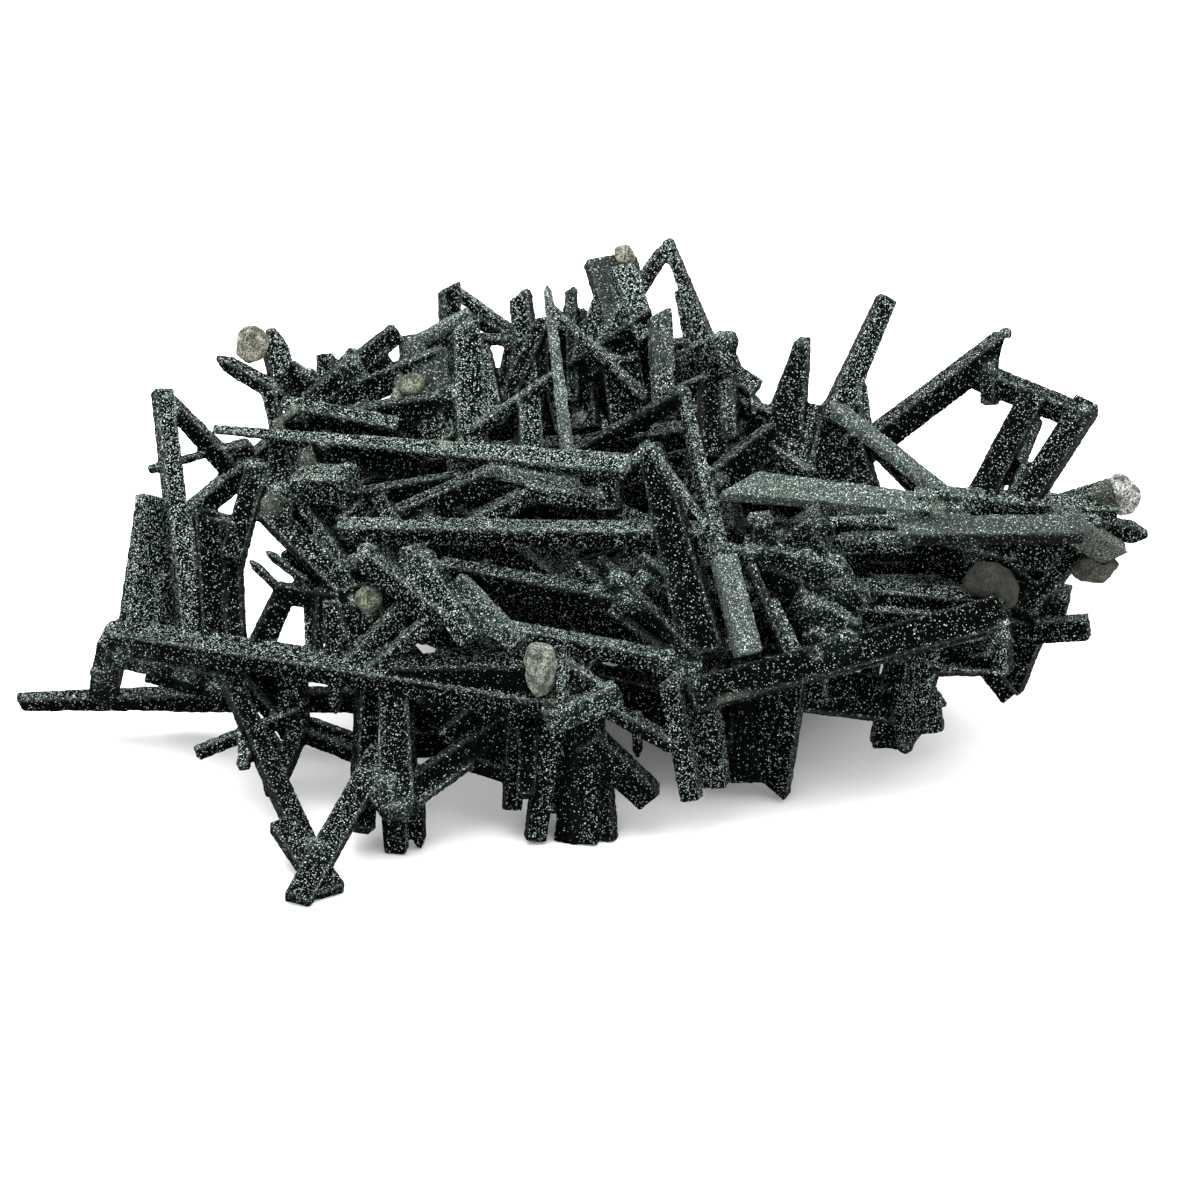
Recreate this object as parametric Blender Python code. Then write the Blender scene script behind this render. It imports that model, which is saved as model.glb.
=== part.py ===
"""Jackstraw cluster of chlorite-coated quartz laths, with pale nodules of another mineral.

Every crystal is a flat, four-sided lath laid by hand from one end to the other.  The laths cross
and grow through one another, so one Boolean union makes them a single solid.

The layout sheet leans back by SHEET_LEAN.  A place on it is (across, down, out): whole steps of
1/8 mm across and down the sheet, and millimetres out of it towards the front.
"""
import math
import random
from typing import NamedTuple

import bmesh
import bpy
from mathutils import Matrix, Vector
from mathutils.geometry import intersect_point_line

# ---- driving dimensions (metres unless said otherwise) ----
MM = 0.001
STEP = 0.125 * MM               # one layout step
SHEET_LEAN = math.radians(28.0)  # how far the layout sheet leans back
SHEET_MIDDLE = 580.0            # layout column, in steps, above the part's middle
SHEET_FOOT = 742.0              # layout row, in steps, where the sheet meets the ground
GAP = 0.0003                    # clearance between a nodule and the laths it grew on
FOOT_TRIM = 0.0004              # how much the lowest tips are worn flat
MERGE = 0.000002                # vertices closer than this are one
CHISEL = 0.55                   # slant of a chisel end, as a share of the width
KNIFE = 1.1                     # slant of a knife end, the other way, as a share of the width
BEVEL_CUT = 1.2                 # slant of a bevelled end, as a share of the thickness
POINT_LENGTH = 1.1              # length of a pointed end, as a share of the width
POINT_WIDTH = 0.35              # what is left of the section at a pointed end

SEED = 57
BACK_RAFTERS = 13               # rule-made laths that run down the back wall
BACK_RAILS = 13                 # rule-made laths that run along the back wall
BACK_LINKS = 4                  # rule-made laths that tie the back wall to the front

SHEET_RIGHT = Vector((1.0, 0.0, 0.0))
SHEET_UP = Vector((0.0, math.sin(SHEET_LEAN), math.cos(SHEET_LEAN)))
SHEET_OUT = Vector((0.0, -math.cos(SHEET_LEAN), math.sin(SHEET_LEAN)))


class Lath(NamedTuple):
    """One crystal: where it starts and ends, its section in millimetres and its turn in degrees."""

    name: str
    start: tuple
    end: tuple
    width: float
    thick: float
    roll: float = 0.0
    grow: float = 1.0
    ends: str = "ss"            # start and end: s square, c chisel, k knife, b bevelled, p pointed


class Nodule(NamedTuple):
    """One pale nodule: its middle on the layout sheet, its half sizes in millimetres, its colour."""

    name: str
    middle: tuple
    half: tuple
    colour: tuple


LEFT_FRAME = [
    Lath("left_post", (161, 390, 6), (192, 645, 14.5), 2.4, 2.0, -22, 1.2),
    Lath("left_rear_blade", (153, 497, 8), (145, 640, 12.5), 4.6, 1.5, -40, 1.65),
    Lath("left_brace", (165, 398, 6), (239, 477, 6.5), 1.9, 1.7, 20, 1.45),
    Lath("left_needle", (148, 470, 8), (248, 441, 5), 0.9, 1.0, 30),
    Lath("left_beam", (188, 517, 9.5), (292, 430, 4), 2.6, 2.8, 20, 1.0),
    Lath("left_upright", (259, 464, 7), (232, 570, 10.5), 2.2, 2.4, 25, 1.0, "ps"),
    Lath("left_upright_foot", (232, 545, 10), (238, 656, 15.5), 2.2, 2.0, 15),
    Lath("left_inner_plate", (204, 512, 9.5), (214, 648, 15), 3.2, 1.8, -25, 1.1),
    Lath("left_link", (184, 515, 9.5), (236, 523, 9), 1.3, 2.4, 25),
    Lath("left_plate", (122, 632, 12), (174, 571, 10.5), 2.4, 1.0, 10, 0.7, "sp"),
    Lath("left_stub", (114, 640, 12), (102, 698, 2), 3.6, 3.0, 15, 0.9),
    Lath("left_rail", (112, 656, 10), (222, 677, 15), 1.9, 2.6, 30),
    Lath("low_blade", (15, 702, 0), (240, 697, 2), 1.7, 2.2, 28, 1.45, "cs"),
    Lath("low_blade_inner", (168, 699, 0), (400, 700, 4), 2.8, 2.4, 20),
    Lath("low_cross", (197, 753, 21), (300, 712, 18), 1.6, 1.7, 20),
]

FRONT_LEGS = [
    Lath("leg_left", (217, 652, 14), (314, 862, 32.5), 2.4, 2.4, -18, 1.15),
    Lath("leg_left_foot", (282, 822, 30.5), (333, 893, 37.3), 3.4, 2.0, -25, 1.1),
    Lath("leg_right", (381, 752, 27.5), (298, 901, 39.2), 3.1, 2.4, 10, 1.1),
    Lath("leg_rung_a", (302, 722, 16.5), (273, 792, 25), 2.3, 2.2, 20),
    Lath("leg_rung_b", (284, 724, 15.5), (384, 763, 22.5), 2.0, 2.6, 25),
    Lath("leg_drop_a", (292, 664, 19), (296, 738, 17), 3.4, 2.4, 20),
    Lath("leg_drop_b", (230, 668, 16.5), (292, 737, 17), 1.6, 1.8, 20),
    Lath("leg_drop_c", (335, 676, 21.5), (336, 713, 20), 1.5, 1.8, 15, 1.0, "sp"),
    Lath("leg_middle", (368, 684, 22), (362, 830, 27.5), 2.6, 2.6, -20, 1.1),
    Lath("front_plate", (396, 694, 24.5), (401, 812, 32.5), 3.8, 2.8, 15, 1.15),
    Lath("front_plate_lobe", (372, 770, 30), (386, 818, 32), 1.8, 1.8, 20, 0.9, "sp"),
    Lath("front_prop_a", (396, 814, 32), (470, 760, 27), 1.7, 2.0, -15),
    Lath("front_prop_b", (414, 783, 30), (507, 723, 25.5), 2.6, 2.4, 15),
    Lath("front_peg_a", (418, 786, 29.5), (420, 848, 26), 1.5, 1.8, 20, 0.9, "sp"),
    Lath("front_peg_b", (395, 798, 30), (397, 850, 26.5), 3.2, 2.4, 15, 0.85),
    Lath("front_prop_c", (452, 754, 26.5), (522, 779, 24), 2.3, 2.4, 20, 0.8),
]

LONG_BARS = [
    Lath("bar_lower", (112, 634, 12), (566, 704, 33), 2.5, 4.2, 32, 1.1),
    Lath("bar_upper", (213, 429, 11), (628, 467, 22), 0.55, 1.22, 45, 2.8),
    Lath("bar_middle", (337, 530, 23), (706, 536, 23), 2.4, 2.9, 28, 1.1, "cs"),
    Lath("bar_right_bright", (718, 484, 22), (928, 505, 19.5), 1.8, 4.1, 52, 0.7, "bs"),
    Lath("bar_right_grey", (896, 531, 21), (1082, 529, 18.5), 2.1, 3.5, 42, 1.0),
    Lath("bar_right_low", (690, 697, 30), (1004, 612, 22), 4.2, 2.4, -14, 1.0, "ss"),
]

UPPER_LEFT = [
    Lath("upper_stub_a", (270, 328, 4), (287, 402, 6), 3.2, 2.4, -15, 0.95, "ps"),
    Lath("upper_rod_a", (216, 357, 6), (304, 408, 7), 1.5, 1.9, 28, 1.4, "ps"),
    Lath("upper_drop", (268, 386, 6), (281, 440, 12), 1.9, 1.8, 15),
    Lath("upper_link", (272, 430, 10), (300, 406, 12), 1.2, 1.2, 10),
    Lath("upper_bar", (280, 402, 12), (398, 425, 13.5), 0.9, 2.2, 40, 1.1, "cs"),
    Lath("upper_blade", (397, 332, 7), (308, 402, 11.5), 2.6, 1.8, -12),
    Lath("upper_stub_b", (326, 357, 6), (327, 404, 10), 2.2, 2.0, 15),
    Lath("upper_stub_c", (364, 348, 5), (326, 390, 7.5), 2.6, 2.0, 10, 1.0, "cs"),
    Lath("upper_stub_d", (410, 338, 4.5), (413, 400, 8.5), 2.6, 2.4, 15, 1.0),
    Lath("upper_arm", (412, 344, 5.5), (470, 313, 7.5), 1.5, 1.8, 15),
    Lath("shoulder_a", (330, 402, 9), (446, 358, 6.5), 3.4, 2.4, 15),
    Lath("shoulder_b", (404, 372, 6.5), (446, 446, 13.5), 3.6, 2.6, 12),
    Lath("shoulder_c", (302, 428, 9), (462, 403, 12), 3.6, 2.6, 15),
    Lath("corner_post", (449, 281, 3), (450, 340, 5), 2.4, 2.2, -20, 1.0, "cs"),
    Lath("corner_brace", (454, 290, 3), (524, 340, 4), 1.5, 1.3, 15),
    Lath("tall_post", (463, 321, 8), (470, 452, 15), 3.4, 3.0, -18, 1.2, "cs"),
    Lath("tall_post_flank", (482, 350, 7), (498, 430, 13), 2.2, 2.4, 10, 1.2),
    Lath("tall_rail", (472, 338, 7.5), (526, 341, 5), 1.1, 1.6, 25),
    Lath("dark_strut", (546, 315, 6.5), (503, 412, 10), 1.8, 1.8, 15, 1.15, "cs"),
    Lath("spike", (547, 285, 11), (568, 456, 16), 0.9, 1.1, -35, 1.45, "ps"),
    Lath("spike_brace", (551, 309, 12), (608, 361, 10), 0.9, 1.6, 30),
    Lath("spike_brace_tip", (604, 358, 10), (644, 400, 12), 0.9, 1.4, 30),
    Lath("spike_cross", (596, 358, 10), (638, 357, 9), 0.7, 1.0, 28),
    Lath("back_rod_a", (571, 287, 4), (574, 402, 9), 1.4, 1.6, 15, 1.0, "cs"),
    Lath("back_rod_b", (520, 291, 3), (534, 420, 10), 2.6, 2.2, 18, 1.1, "cs"),
    Lath("back_rod_c", (578, 309, 3), (588, 430, 8), 2.0, 2.0, 15, 1.5, "cs"),
    Lath("middle_post", (527, 398, 12), (529, 456, 17), 3.0, 2.4, -20),
    Lath("middle_rod", (472, 433, 16), (556, 375, 11), 1.4, 1.4, 20),
    Lath("summit_block", (600, 259, 4), (626, 350, 7.5), 4.0, 2.4, -18, 0.9),
    Lath("summit_strut", (611, 292, 5), (584, 372, 8), 3.4, 2.6, 14, 1.1),
    Lath("summit_back_a", (556, 352, 2), (572, 432, 8), 4.0, 2.0, 10),
    Lath("summit_back_b", (616, 334, 6.5), (630, 430, 11.5), 5.0, 2.0, -10),
    Lath("summit_peg", (634, 254, 3), (633, 310, 5), 1.3, 1.4, 20, 1.0, "ps"),
    Lath("apex_left", (670, 241, 4), (597, 352, 8), 1.7, 1.6, -15, 1.3, "ps"),
    Lath("apex_right", (668, 239, 4), (710, 352, 7.5), 1.2, 1.3, 16, 2.0),
]

UPPER_MIDDLE = [
    Lath("inner_post", (657, 309, 11), (665, 420, 15), 2.3, 2.2, -20, 1.1, "cs"),
    Lath("inner_plate", (655, 320, 8), (578, 372, 9), 3.6, 2.0, -12),
    Lath("cross_beam", (688, 393, 16), (572, 458, 15), 2.1, 2.2, -15),
    Lath("bright_blade", (682, 388, 16), (720, 560, 25), 1.2, 1.3, -38, 1.8, "cs"),
    Lath("knee_block", (727, 351, 12), (676, 372, 4), 4.8, 3.0, 0, 0.9),
    Lath("knee_rail", (664, 347, 5), (728, 341, 5), 1.7, 2.0, 25),
    Lath("knee_post", (711, 350, 6), (713, 462, 14), 3.2, 2.4, -12, 1.1),
    Lath("knee_column", (731, 380, 9), (732, 440, 13), 1.6, 1.8, 15),
    Lath("knee_ledge", (726, 398, 8), (770, 414, 8), 1.6, 2.2, 20),
    Lath("knee_back", (744, 404, 4), (772, 456, 9), 4.0, 2.0, 10),
    Lath("wedge", (804, 336, 4), (781, 446, 9), 1.9, 1.0, 14, 3.1, "cs"),
    Lath("dark_base_a", (800, 408, 6), (780, 488, 14), 5.6, 2.6, 12),
    Lath("dark_base_b", (842, 410, 8), (820, 492, 14), 5.4, 2.6, -14),
    Lath("dark_base_c", (706, 490, 20.5), (776, 436, 13), 3.8, 2.4, 14),
    Lath("dark_base_d", (846, 440, 8), (862, 494, 14), 4.6, 2.6, 15),
    Lath("ledge_pale", (752, 436, 13), (806, 476, 15), 2.0, 1.8, 20),
]

MIDDLE = [
    Lath("rib_a", (346, 497, 18), (462, 477, 19), 1.6, 2.0, 20, 0.9, "cs"),
    Lath("rib_back", (318, 446, 12), (424, 470, 14), 4.2, 2.0, 0),
    Lath("rib_b", (400, 517, 22), (494, 476, 21), 2.8, 2.4, 24),
    Lath("rib_c", (448, 472, 15), (508, 460, 15), 2.6, 2.4, 28),
    Lath("rib_d", (490, 470, 19), (580, 481, 19), 1.8, 2.0, 30),
    Lath("rib_e", (526, 490, 20), (616, 501, 20), 2.2, 2.4, 25),
    Lath("rib_f", (472, 524, 21), (524, 497, 19), 2.2, 2.4, 20),
    Lath("rib_g", (342, 524, 19), (374, 494, 17), 1.8, 2.0, 20),
    Lath("rib_h", (378, 494, 18), (400, 532, 21), 1.8, 2.0, 15),
    Lath("capped_stub", (299, 484, 15), (352, 485, 19), 3.7, 4.4, 28),
    Lath("left_dark_stub", (300, 446, 12), (316, 500, 16), 3.4, 2.6, 15),
    Lath("dark_gable", (650, 446, 21.5), (706, 656, 28), 3.0, 2.6, 12, 1.8),
    Lath("dark_gable_arm", (652, 444, 21.5), (610, 484, 20), 1.6, 1.8, 20),
    Lath("gable_block", (612, 456, 19), (610, 512, 21), 2.8, 2.6, 15),
    Lath("bright_slab", (723, 557, 26.3), (748, 654, 28.5), 3.0, 2.4, -25, 1.05),
    Lath("thin_bar_a", (750, 566, 26), (792, 664, 27), 1.1, 1.6, -20),
    Lath("thin_bar_b", (772, 600, 26), (804, 668, 27), 1.1, 1.6, -20),
    Lath("twin_rod_a", (598, 560, 27), (692, 654, 30), 1.7, 2.0, 20),
    Lath("twin_rod_b", (648, 574, 27), (614, 618, 27.5), 1.8, 2.0, 20),
    Lath("thin_rail", (440, 567, 25), (616, 600, 26.5), 2.0, 2.6, 28, 1.1),
    Lath("long_rail", (488, 627, 31), (700, 668, 28), 2.0, 2.6, 24, 1.2),
    Lath("slant_a", (360, 554, 24), (446, 622, 29), 2.7, 2.8, 25),
    Lath("slant_b", (412, 552, 25), (474, 640, 31), 3.3, 2.8, 18),
    Lath("slant_c", (458, 580, 28), (520, 646, 32), 2.2, 2.4, 18, 1.1),
    Lath("slant_d", (412, 598, 26), (352, 664, 23), 2.2, 2.2, -15),
    Lath("slant_e", (434, 617, 28), (374, 670, 25), 1.9, 2.2, -15),
    Lath("slant_back", (352, 586, 21.5), (372, 664, 22), 4.4, 2.0, 0),
    Lath("slant_f", (268, 512, 13), (350, 594, 20), 2.9, 2.4, -20),
    Lath("gap_side", (284, 440, 10), (281, 527, 14), 3.4, 2.6, 15),
    Lath("gap_back", (290, 506, 11), (360, 570, 15), 4.4, 2.0, 0),
    Lath("gap_rib", (304, 506, 14), (352, 574, 19), 1.5, 1.8, 20),
    Lath("gap_needle_a", (250, 560, 15), (294, 604, 17), 1.0, 1.2, 15, 1.0, "ps"),
    Lath("gap_needle_b", (266, 551, 15), (306, 582, 17), 1.0, 1.2, 15, 1.0, "ps"),
    Lath("gap_foot", (256, 656, 17), (288, 586, 17), 3.2, 2.4, 12, 0.8),
    Lath("gap_lintel", (276, 592, 17), (356, 604, 20), 2.4, 2.6, 15),
    Lath("gap_mullion", (317, 660, 20), (320, 590, 19), 1.2, 1.6, 15),
    Lath("slant_g", (334, 600, 21), (338, 672, 21), 2.4, 2.6, 15),
    Lath("under_wedge", (392, 668, 26), (545, 664, 32), 1.5, 3.0, 30, 2.4, "cs"),
    Lath("bar_cap", (548, 722, 34), (618, 692, 32), 3.0, 2.8, 20, 0.9),
    Lath("bar_cap_rib", (560, 645, 34), (564, 712, 35), 1.3, 1.6, 20),
    Lath("cap_arm", (562, 664, 33), (618, 702, 31), 2.0, 2.2, 18),
    Lath("under_fan_a", (425, 690, 27), (506, 752, 24), 3.4, 2.6, 15),
    Lath("under_fan_b", (446, 740, 25), (512, 684, 27), 3.0, 2.4, 15),
    Lath("under_back_a", (598, 694, 16), (696, 716, 18), 5.0, 2.4, 0),
    Lath("under_back_b", (398, 714, 21), (510, 720, 23), 4.6, 2.4, 0),
]

BOTTOM_POSTS = [
    Lath("post_a", (520, 690, 26), (512, 810, 25), 3.4, 2.6, -15, 0.65),
    Lath("post_b", (556, 690, 29.5), (535, 839, 24.4), 3.0, 2.8, -12, 0.85),
    Lath("post_c", (583, 700, 29), (568, 840, 23.6), 3.0, 2.6, 15),
    Lath("post_d", (592, 706, 29), (587, 841, 24), 3.0, 3.0, 12),
    Lath("post_e", (602, 750, 24), (609, 841, 23.6), 1.9, 2.2, 20),
    Lath("front_foot", (588, 738, 29), (650, 797, 25), 3.8, 3.0, 22, 0.95),
    Lath("low_ramp_a", (588, 697, 30.5), (672, 744, 28), 1.8, 2.4, 25),
    Lath("low_ramp_b", (668, 672, 29.5), (692, 799, 26.4), 2.5, 2.4, 20, 1.0, "cs"),
    Lath("peg_short", (637, 712, 28), (638, 757, 25), 1.1, 1.4, 15, 1.0, "sp"),
    Lath("right_leg_plate", (698, 672, 27), (712, 785, 22), 4.2, 2.8, 20),
    Lath("right_foot_plate", (786, 668, 23), (771, 793, 14.2), 5.4, 2.8, 18, 0.82, "sc"),
    Lath("right_foot_rear", (752, 668, 20), (742, 779, 15), 4.6, 3.0, -18),
    Lath("right_drip", (812, 632, 24), (819, 699, 22), 2.1, 2.4, 20),
    Lath("right_low_rail", (796, 688, 15), (890, 700, 10), 5.6, 2.6, -10),
    Lath("right_leg", (930, 640, 17), (903, 752, 9), 3.8, 2.4, 28, 0.9, "sp"),
    Lath("right_leg_rear", (902, 655, 14), (886, 744, 7.5), 3.8, 2.6, -15),
    Lath("right_leg_side", (926, 690, 12), (932, 730, 10), 2.6, 2.2, 10, 1.2),
]

RIGHT_FRAME = [
    Lath("right_blade", (887, 298, 4), (831, 424, 11), 2.4, 1.8, -14, 1.45),
    Lath("right_blade_rear", (853, 379, 7), (850, 440, 10), 2.9, 2.2, 15, 1.1),
    Lath("window_beam", (1008, 341, 5.5), (870, 445, 11), 3.2, 3.2, -22, 1.0, "ks"),
    Lath("window_knob", (990, 346, 6), (990, 404, 7), 1.9, 2.4, 15),
    Lath("window_top", (968, 371, 5), (1090, 420, 8), 2.8, 3.0, 24),
    Lath("window_jamb_a", (1034, 398, 7), (977, 506, 14.5), 3.3, 3.0, 14, 1.05),
    Lath("window_jamb_b", (1088, 404, 8), (1022, 506, 14), 3.3, 3.0, 14, 1.0),
    Lath("window_sill", (1012, 502, 14), (1028, 464, 11.5), 2.0, 2.0, 14),
    Lath("thin_bright", (830, 404, 14), (948, 498, 18), 1.5, 2.2, 40, 1.0, "ps"),
    Lath("rear_brace", (872, 440, 9), (930, 500, 15), 2.4, 2.0, 15),
    Lath("rail_right_top", (926, 497, 16), (1116, 511, 12), 2.0, 3.0, 30, 1.1),
    Lath("rail_knot", (916, 503, 19), (984, 503, 16.5), 3.0, 3.4, 20),
    Lath("pale_hex_stub", (1060, 505, 11), (1116, 492, 12.5), 2.2, 2.4, 30, 1.3),
    Lath("elbow", (1052, 514, 16.5), (1120, 558, 14), 3.2, 3.2, 18, 1.0, "sc"),
    Lath("side_stub", (1098, 527, 12), (1148, 534, 10), 2.4, 2.4, 18, 1.0, "sp"),
    Lath("lower_diagonal", (1078, 552, 12), (1026, 612, 11), 2.2, 2.2, 14),
    Lath("lower_lump", (1060, 584, 9), (1052, 622, 8), 3.0, 2.6, 10),
    Lath("right_low_blade", (984, 634, 8), (1089, 627, 11), 3.1, 2.6, 16, 0.95),
    Lath("right_chunk", (1032, 630, 8), (1010, 690, 4.5), 3.4, 3.0, 15, 0.9, "sc"),
    Lath("bundle_a", (826, 590, 23), (1000, 606, 18), 2.8, 3.2, 30),
    Lath("bundle_b", (846, 612, 23), (992, 622, 18), 2.6, 3.2, 26),
    Lath("bundle_c", (824, 648, 24), (1000, 620, 19), 3.4, 3.2, 18),
    Lath("bundle_d", (836, 520, 20.5), (938, 528, 20), 1.8, 3.2, 34),
    Lath("bundle_e", (832, 538, 20.5), (912, 542, 20), 1.9, 3.2, 34),
    Lath("end_cap", (1000, 606, 19), (1004, 673, 16), 1.8, 3.0, 20),
    Lath("end_block", (930, 661, 16), (1006, 661, 15), 3.4, 2.8, -12),
    Lath("node_rib_a", (764, 560, 22), (762, 518, 27), 2.6, 2.4, 15),
    Lath("node_rib_b", (778, 552, 22), (826, 514, 25), 3.2, 2.6, 22),
    Lath("node_rib_c", (742, 548, 24), (828, 568, 24), 2.8, 2.8, 26),
    Lath("node_rib_d", (806, 536, 23), (860, 610, 24), 3.4, 3.0, 20),
    Lath("node_rib_e", (794, 600, 24), (852, 636, 25), 4.4, 3.0, 22),
    Lath("node_rib_f", (760, 572, 23), (818, 596, 24), 2.8, 2.8, 15),
    Lath("right_dark_a", (904, 548, 14), (1010, 572, 12), 4.0, 2.6, 14),
    Lath("right_dark_b", (960, 546, 13), (1044, 606, 10), 4.4, 2.6, 12),
    Lath("right_dark_c", (985, 550, 12), (1066, 554, 11), 4.6, 2.4, 0),
]

NODULES = [
    Nodule("nodule_upper_left", (251, 344, 6.0), (1.7, 1.5, 1.6), (0.33, 0.33, 0.27)),
    Nodule("nodule_shoulder_green", (414, 388, 9.5), (1.9, 1.6, 1.7), (0.38, 0.40, 0.28)),
    Nodule("nodule_summit", (624, 255, 4.4), (1.2, 1.1, 1.2), (0.42, 0.42, 0.36)),
    Nodule("nodule_left_inner", (370, 599, 23.7), (1.6, 1.5, 1.5), (0.40, 0.40, 0.30)),
    Nodule("nodule_front", (541, 667, 35.0), (1.9, 2.0, 3.6), (0.45, 0.44, 0.37)),
    Nodule("nodule_right_disc", (990, 590, 18.5), (3.5, 1.9, 2.9), (0.26, 0.25, 0.21)),
    Nodule("nodule_right_low", (1095, 569, 14.0), (2.8, 2.0, 1.7), (0.30, 0.28, 0.22)),
    Nodule("nodule_right_tip", (1124, 493, 13.0), (2.3, 2.3, 2.5), (0.42, 0.42, 0.38)),
]

# The rule-made laths keep inside this outline of the mass, on the layout sheet ...
MASS_OUTLINE = [
    (345, 450), (470, 445), (560, 372), (735, 372), (775, 440), (860, 470), (885, 500),
    (1000, 520), (1030, 560), (1000, 640), (870, 690), (800, 700), (690, 700), (600, 700),
    (500, 725), (400, 680), (345, 640),
]
# ... and stand on this back wall, bowed out at its middle (millimetres).
WALL_MIDDLE = 9.0
WALL_REACH = 48.0
WALL_DEPTH = 31.0
WALL_BOW = 14.0
GROUND_CLEAR = 2.4              # lowest middle line of a rule-made lath

# Laths that carry the back, laid by hand so that the part stands on them.
BACK_PROPS = [
    Lath("back_foot_left", (440, 470, -8), (396, 622, -28.4), 3.8, 3.2, 20),
    Lath("back_foot_right", (826, 490, -8), (862, 618, -29.2), 4.0, 3.4, 15),
    Lath("back_foot_middle", (596, 430, -8), (622, 600, -33), 4.2, 3.2, 10),
    Lath("back_long_a", (372, 556, -16), (962, 566, -18), 4.4, 3.4, 15),
    Lath("back_long_b", (408, 470, -8), (862, 600, -22), 4.0, 3.6, -20),
    Lath("back_long_c", (450, 600, -22), (724, 396, -8), 4.6, 3.2, 15),
    Lath("inner_long_a", (340, 600, 14), (870, 560, 12), 4.0, 5.0, 20),
    Lath("inner_long_b", (380, 470, 8), (700, 690, 18), 4.2, 5.0, 10),
    Lath("inner_long_c", (730, 420, 4), (560, 690, 16), 4.4, 5.0, 12),
    Lath("inner_long_d", (640, 600, 16), (985, 600, 12), 5.0, 5.0, 22),
]


def place(across, down, out):
    """World point of a layout position."""
    right = (across - SHEET_MIDDLE) * STEP
    up = (SHEET_FOOT - down) * STEP
    return SHEET_RIGHT * right + SHEET_UP * up + SHEET_OUT * (out * MM)


def lath_axes(lath):
    """Unit vectors along a lath, across its broad face and out of that face."""
    along = (place(*lath.end) - place(*lath.start)).normalized()
    out = (SHEET_OUT - along * SHEET_OUT.dot(along)).normalized()
    out = Matrix.Rotation(math.radians(lath.roll), 3, along) @ out
    return along, out.cross(along), out


def lath_rings(lath, margin):
    """Corner rings of a lath, from its start to its end."""
    along, side, out = lath_axes(lath)
    start = place(*lath.start) - along * margin
    length = (place(*lath.end) - place(*lath.start)).length + 2.0 * margin
    half_w = lath.width * MM / 2.0
    half_t = lath.thick * MM / 2.0
    stations = [(0.0, 1.0, lath.ends[0]), (length, 1.0, lath.ends[1])]
    point = min(POINT_LENGTH * lath.width * MM, 0.3 * length)
    if lath.ends[0] == "p":
        stations[0] = (0.0, POINT_WIDTH, "s")
        stations.insert(1, (point, 1.0, "s"))
    if lath.ends[1] == "p":
        stations[-1] = (length, POINT_WIDTH, "s")
        stations.insert(-1, (length - point * lath.grow, 1.0, "s"))
    rings = []
    for index, (distance, share, style) in enumerate(stations):
        size = share * (1.0 + (lath.grow - 1.0) * distance / length)
        turn = 1.0 if index == 0 else -1.0
        wide_slant = turn * CHISEL * lath.width * MM * size if style == "c" else 0.0
        knife_slant = turn * KNIFE * lath.width * MM * size if style == "k" else 0.0
        deep_slant = turn * BEVEL_CUT * lath.thick * MM * size if style == "b" else 0.0
        ring = []
        for across, depth in ((-1, -1), (1, -1), (1, 1), (-1, 1)):
            shift = wide_slant * (1 - across) / 2.0 + deep_slant * (1 - depth) / 2.0
            shift = shift + knife_slant * (1 + across) / 2.0
            point_at = start + along * (distance + shift)
            point_at = point_at + side * across * (half_w * size + margin)
            ring.append(point_at + out * depth * (half_t * size + margin))
        rings.append(ring)
    return rings


def lath_mesh(lath, margin=0.0):
    """Closed mesh of one lath, grown by a margin on every side."""
    mesh = bpy.data.meshes.new(lath.name)
    shape = bmesh.new()
    rings = [[shape.verts.new(corner) for corner in ring] for ring in lath_rings(lath, margin)]
    shape.faces.new(rings[0])
    for lower, upper in zip(rings, rings[1:]):
        for index in range(4):
            other = (index + 1) % 4
            shape.faces.new((lower[index], lower[other], upper[other], upper[index]))
    shape.faces.new(tuple(reversed(rings[-1])))
    bmesh.ops.recalc_face_normals(shape, faces=shape.faces)
    shape.to_mesh(mesh)
    shape.free()
    return mesh


def inside_outline(across, down, outline):
    """True when a layout point lies inside a closed outline."""
    inside = False
    for (x0, y0), (x1, y1) in zip(outline, outline[1:] + outline[:1]):
        if (y0 > down) != (y1 > down):
            if across < x0 + (down - y0) * (x1 - x0) / (y1 - y0):
                inside = not inside
    return inside


def on_wall(along, height, inward):
    """Layout position of a place on the back wall, moved inward, all in millimetres."""
    aside = (along - WALL_MIDDLE) / WALL_REACH
    spot = Vector((along, WALL_DEPTH - WALL_BOW * aside * aside - inward, height))
    across = SHEET_MIDDLE + along * MM / STEP
    down = SHEET_FOOT - spot.dot(SHEET_UP) * MM / STEP
    return across, down, spot.dot(SHEET_OUT)


def keeps_inside(start, end, reach):
    """True when the whole lath stays over the mass outline and above the ground."""
    for share in (0.0, 0.25, 0.5, 0.75, 1.0):
        across, down, out = (a + (b - a) * share for a, b in zip(start, end))
        for dx, dy in ((reach, reach), (-reach, reach), (reach, -reach), (-reach, -reach)):
            if not inside_outline(across + dx, down + dy, MASS_OUTLINE):
                return False
        if place(across, down, out).z < GROUND_CLEAR * MM:
            return False
    return True


def rafter_ends(rng):
    """Ends of a lath that runs down the back wall."""
    along = rng.uniform(-22.0, 44.0)
    top = on_wall(along, rng.uniform(30.0, 46.0), rng.uniform(0.0, 7.0))
    foot = on_wall(along + rng.uniform(-20.0, 20.0), rng.uniform(3.0, 9.0), rng.uniform(0.0, 12.0))
    return top, foot


def rail_ends(rng):
    """Ends of a lath that runs along the back wall."""
    along = rng.uniform(-30.0, 20.0)
    height = rng.uniform(6.0, 40.0)
    left = on_wall(along, height, rng.uniform(0.0, 24.0))
    length = rng.uniform(24.0, 48.0)
    right = on_wall(along + length, height + rng.uniform(-9.0, 9.0), rng.uniform(0.0, 24.0))
    return left, right


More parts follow.
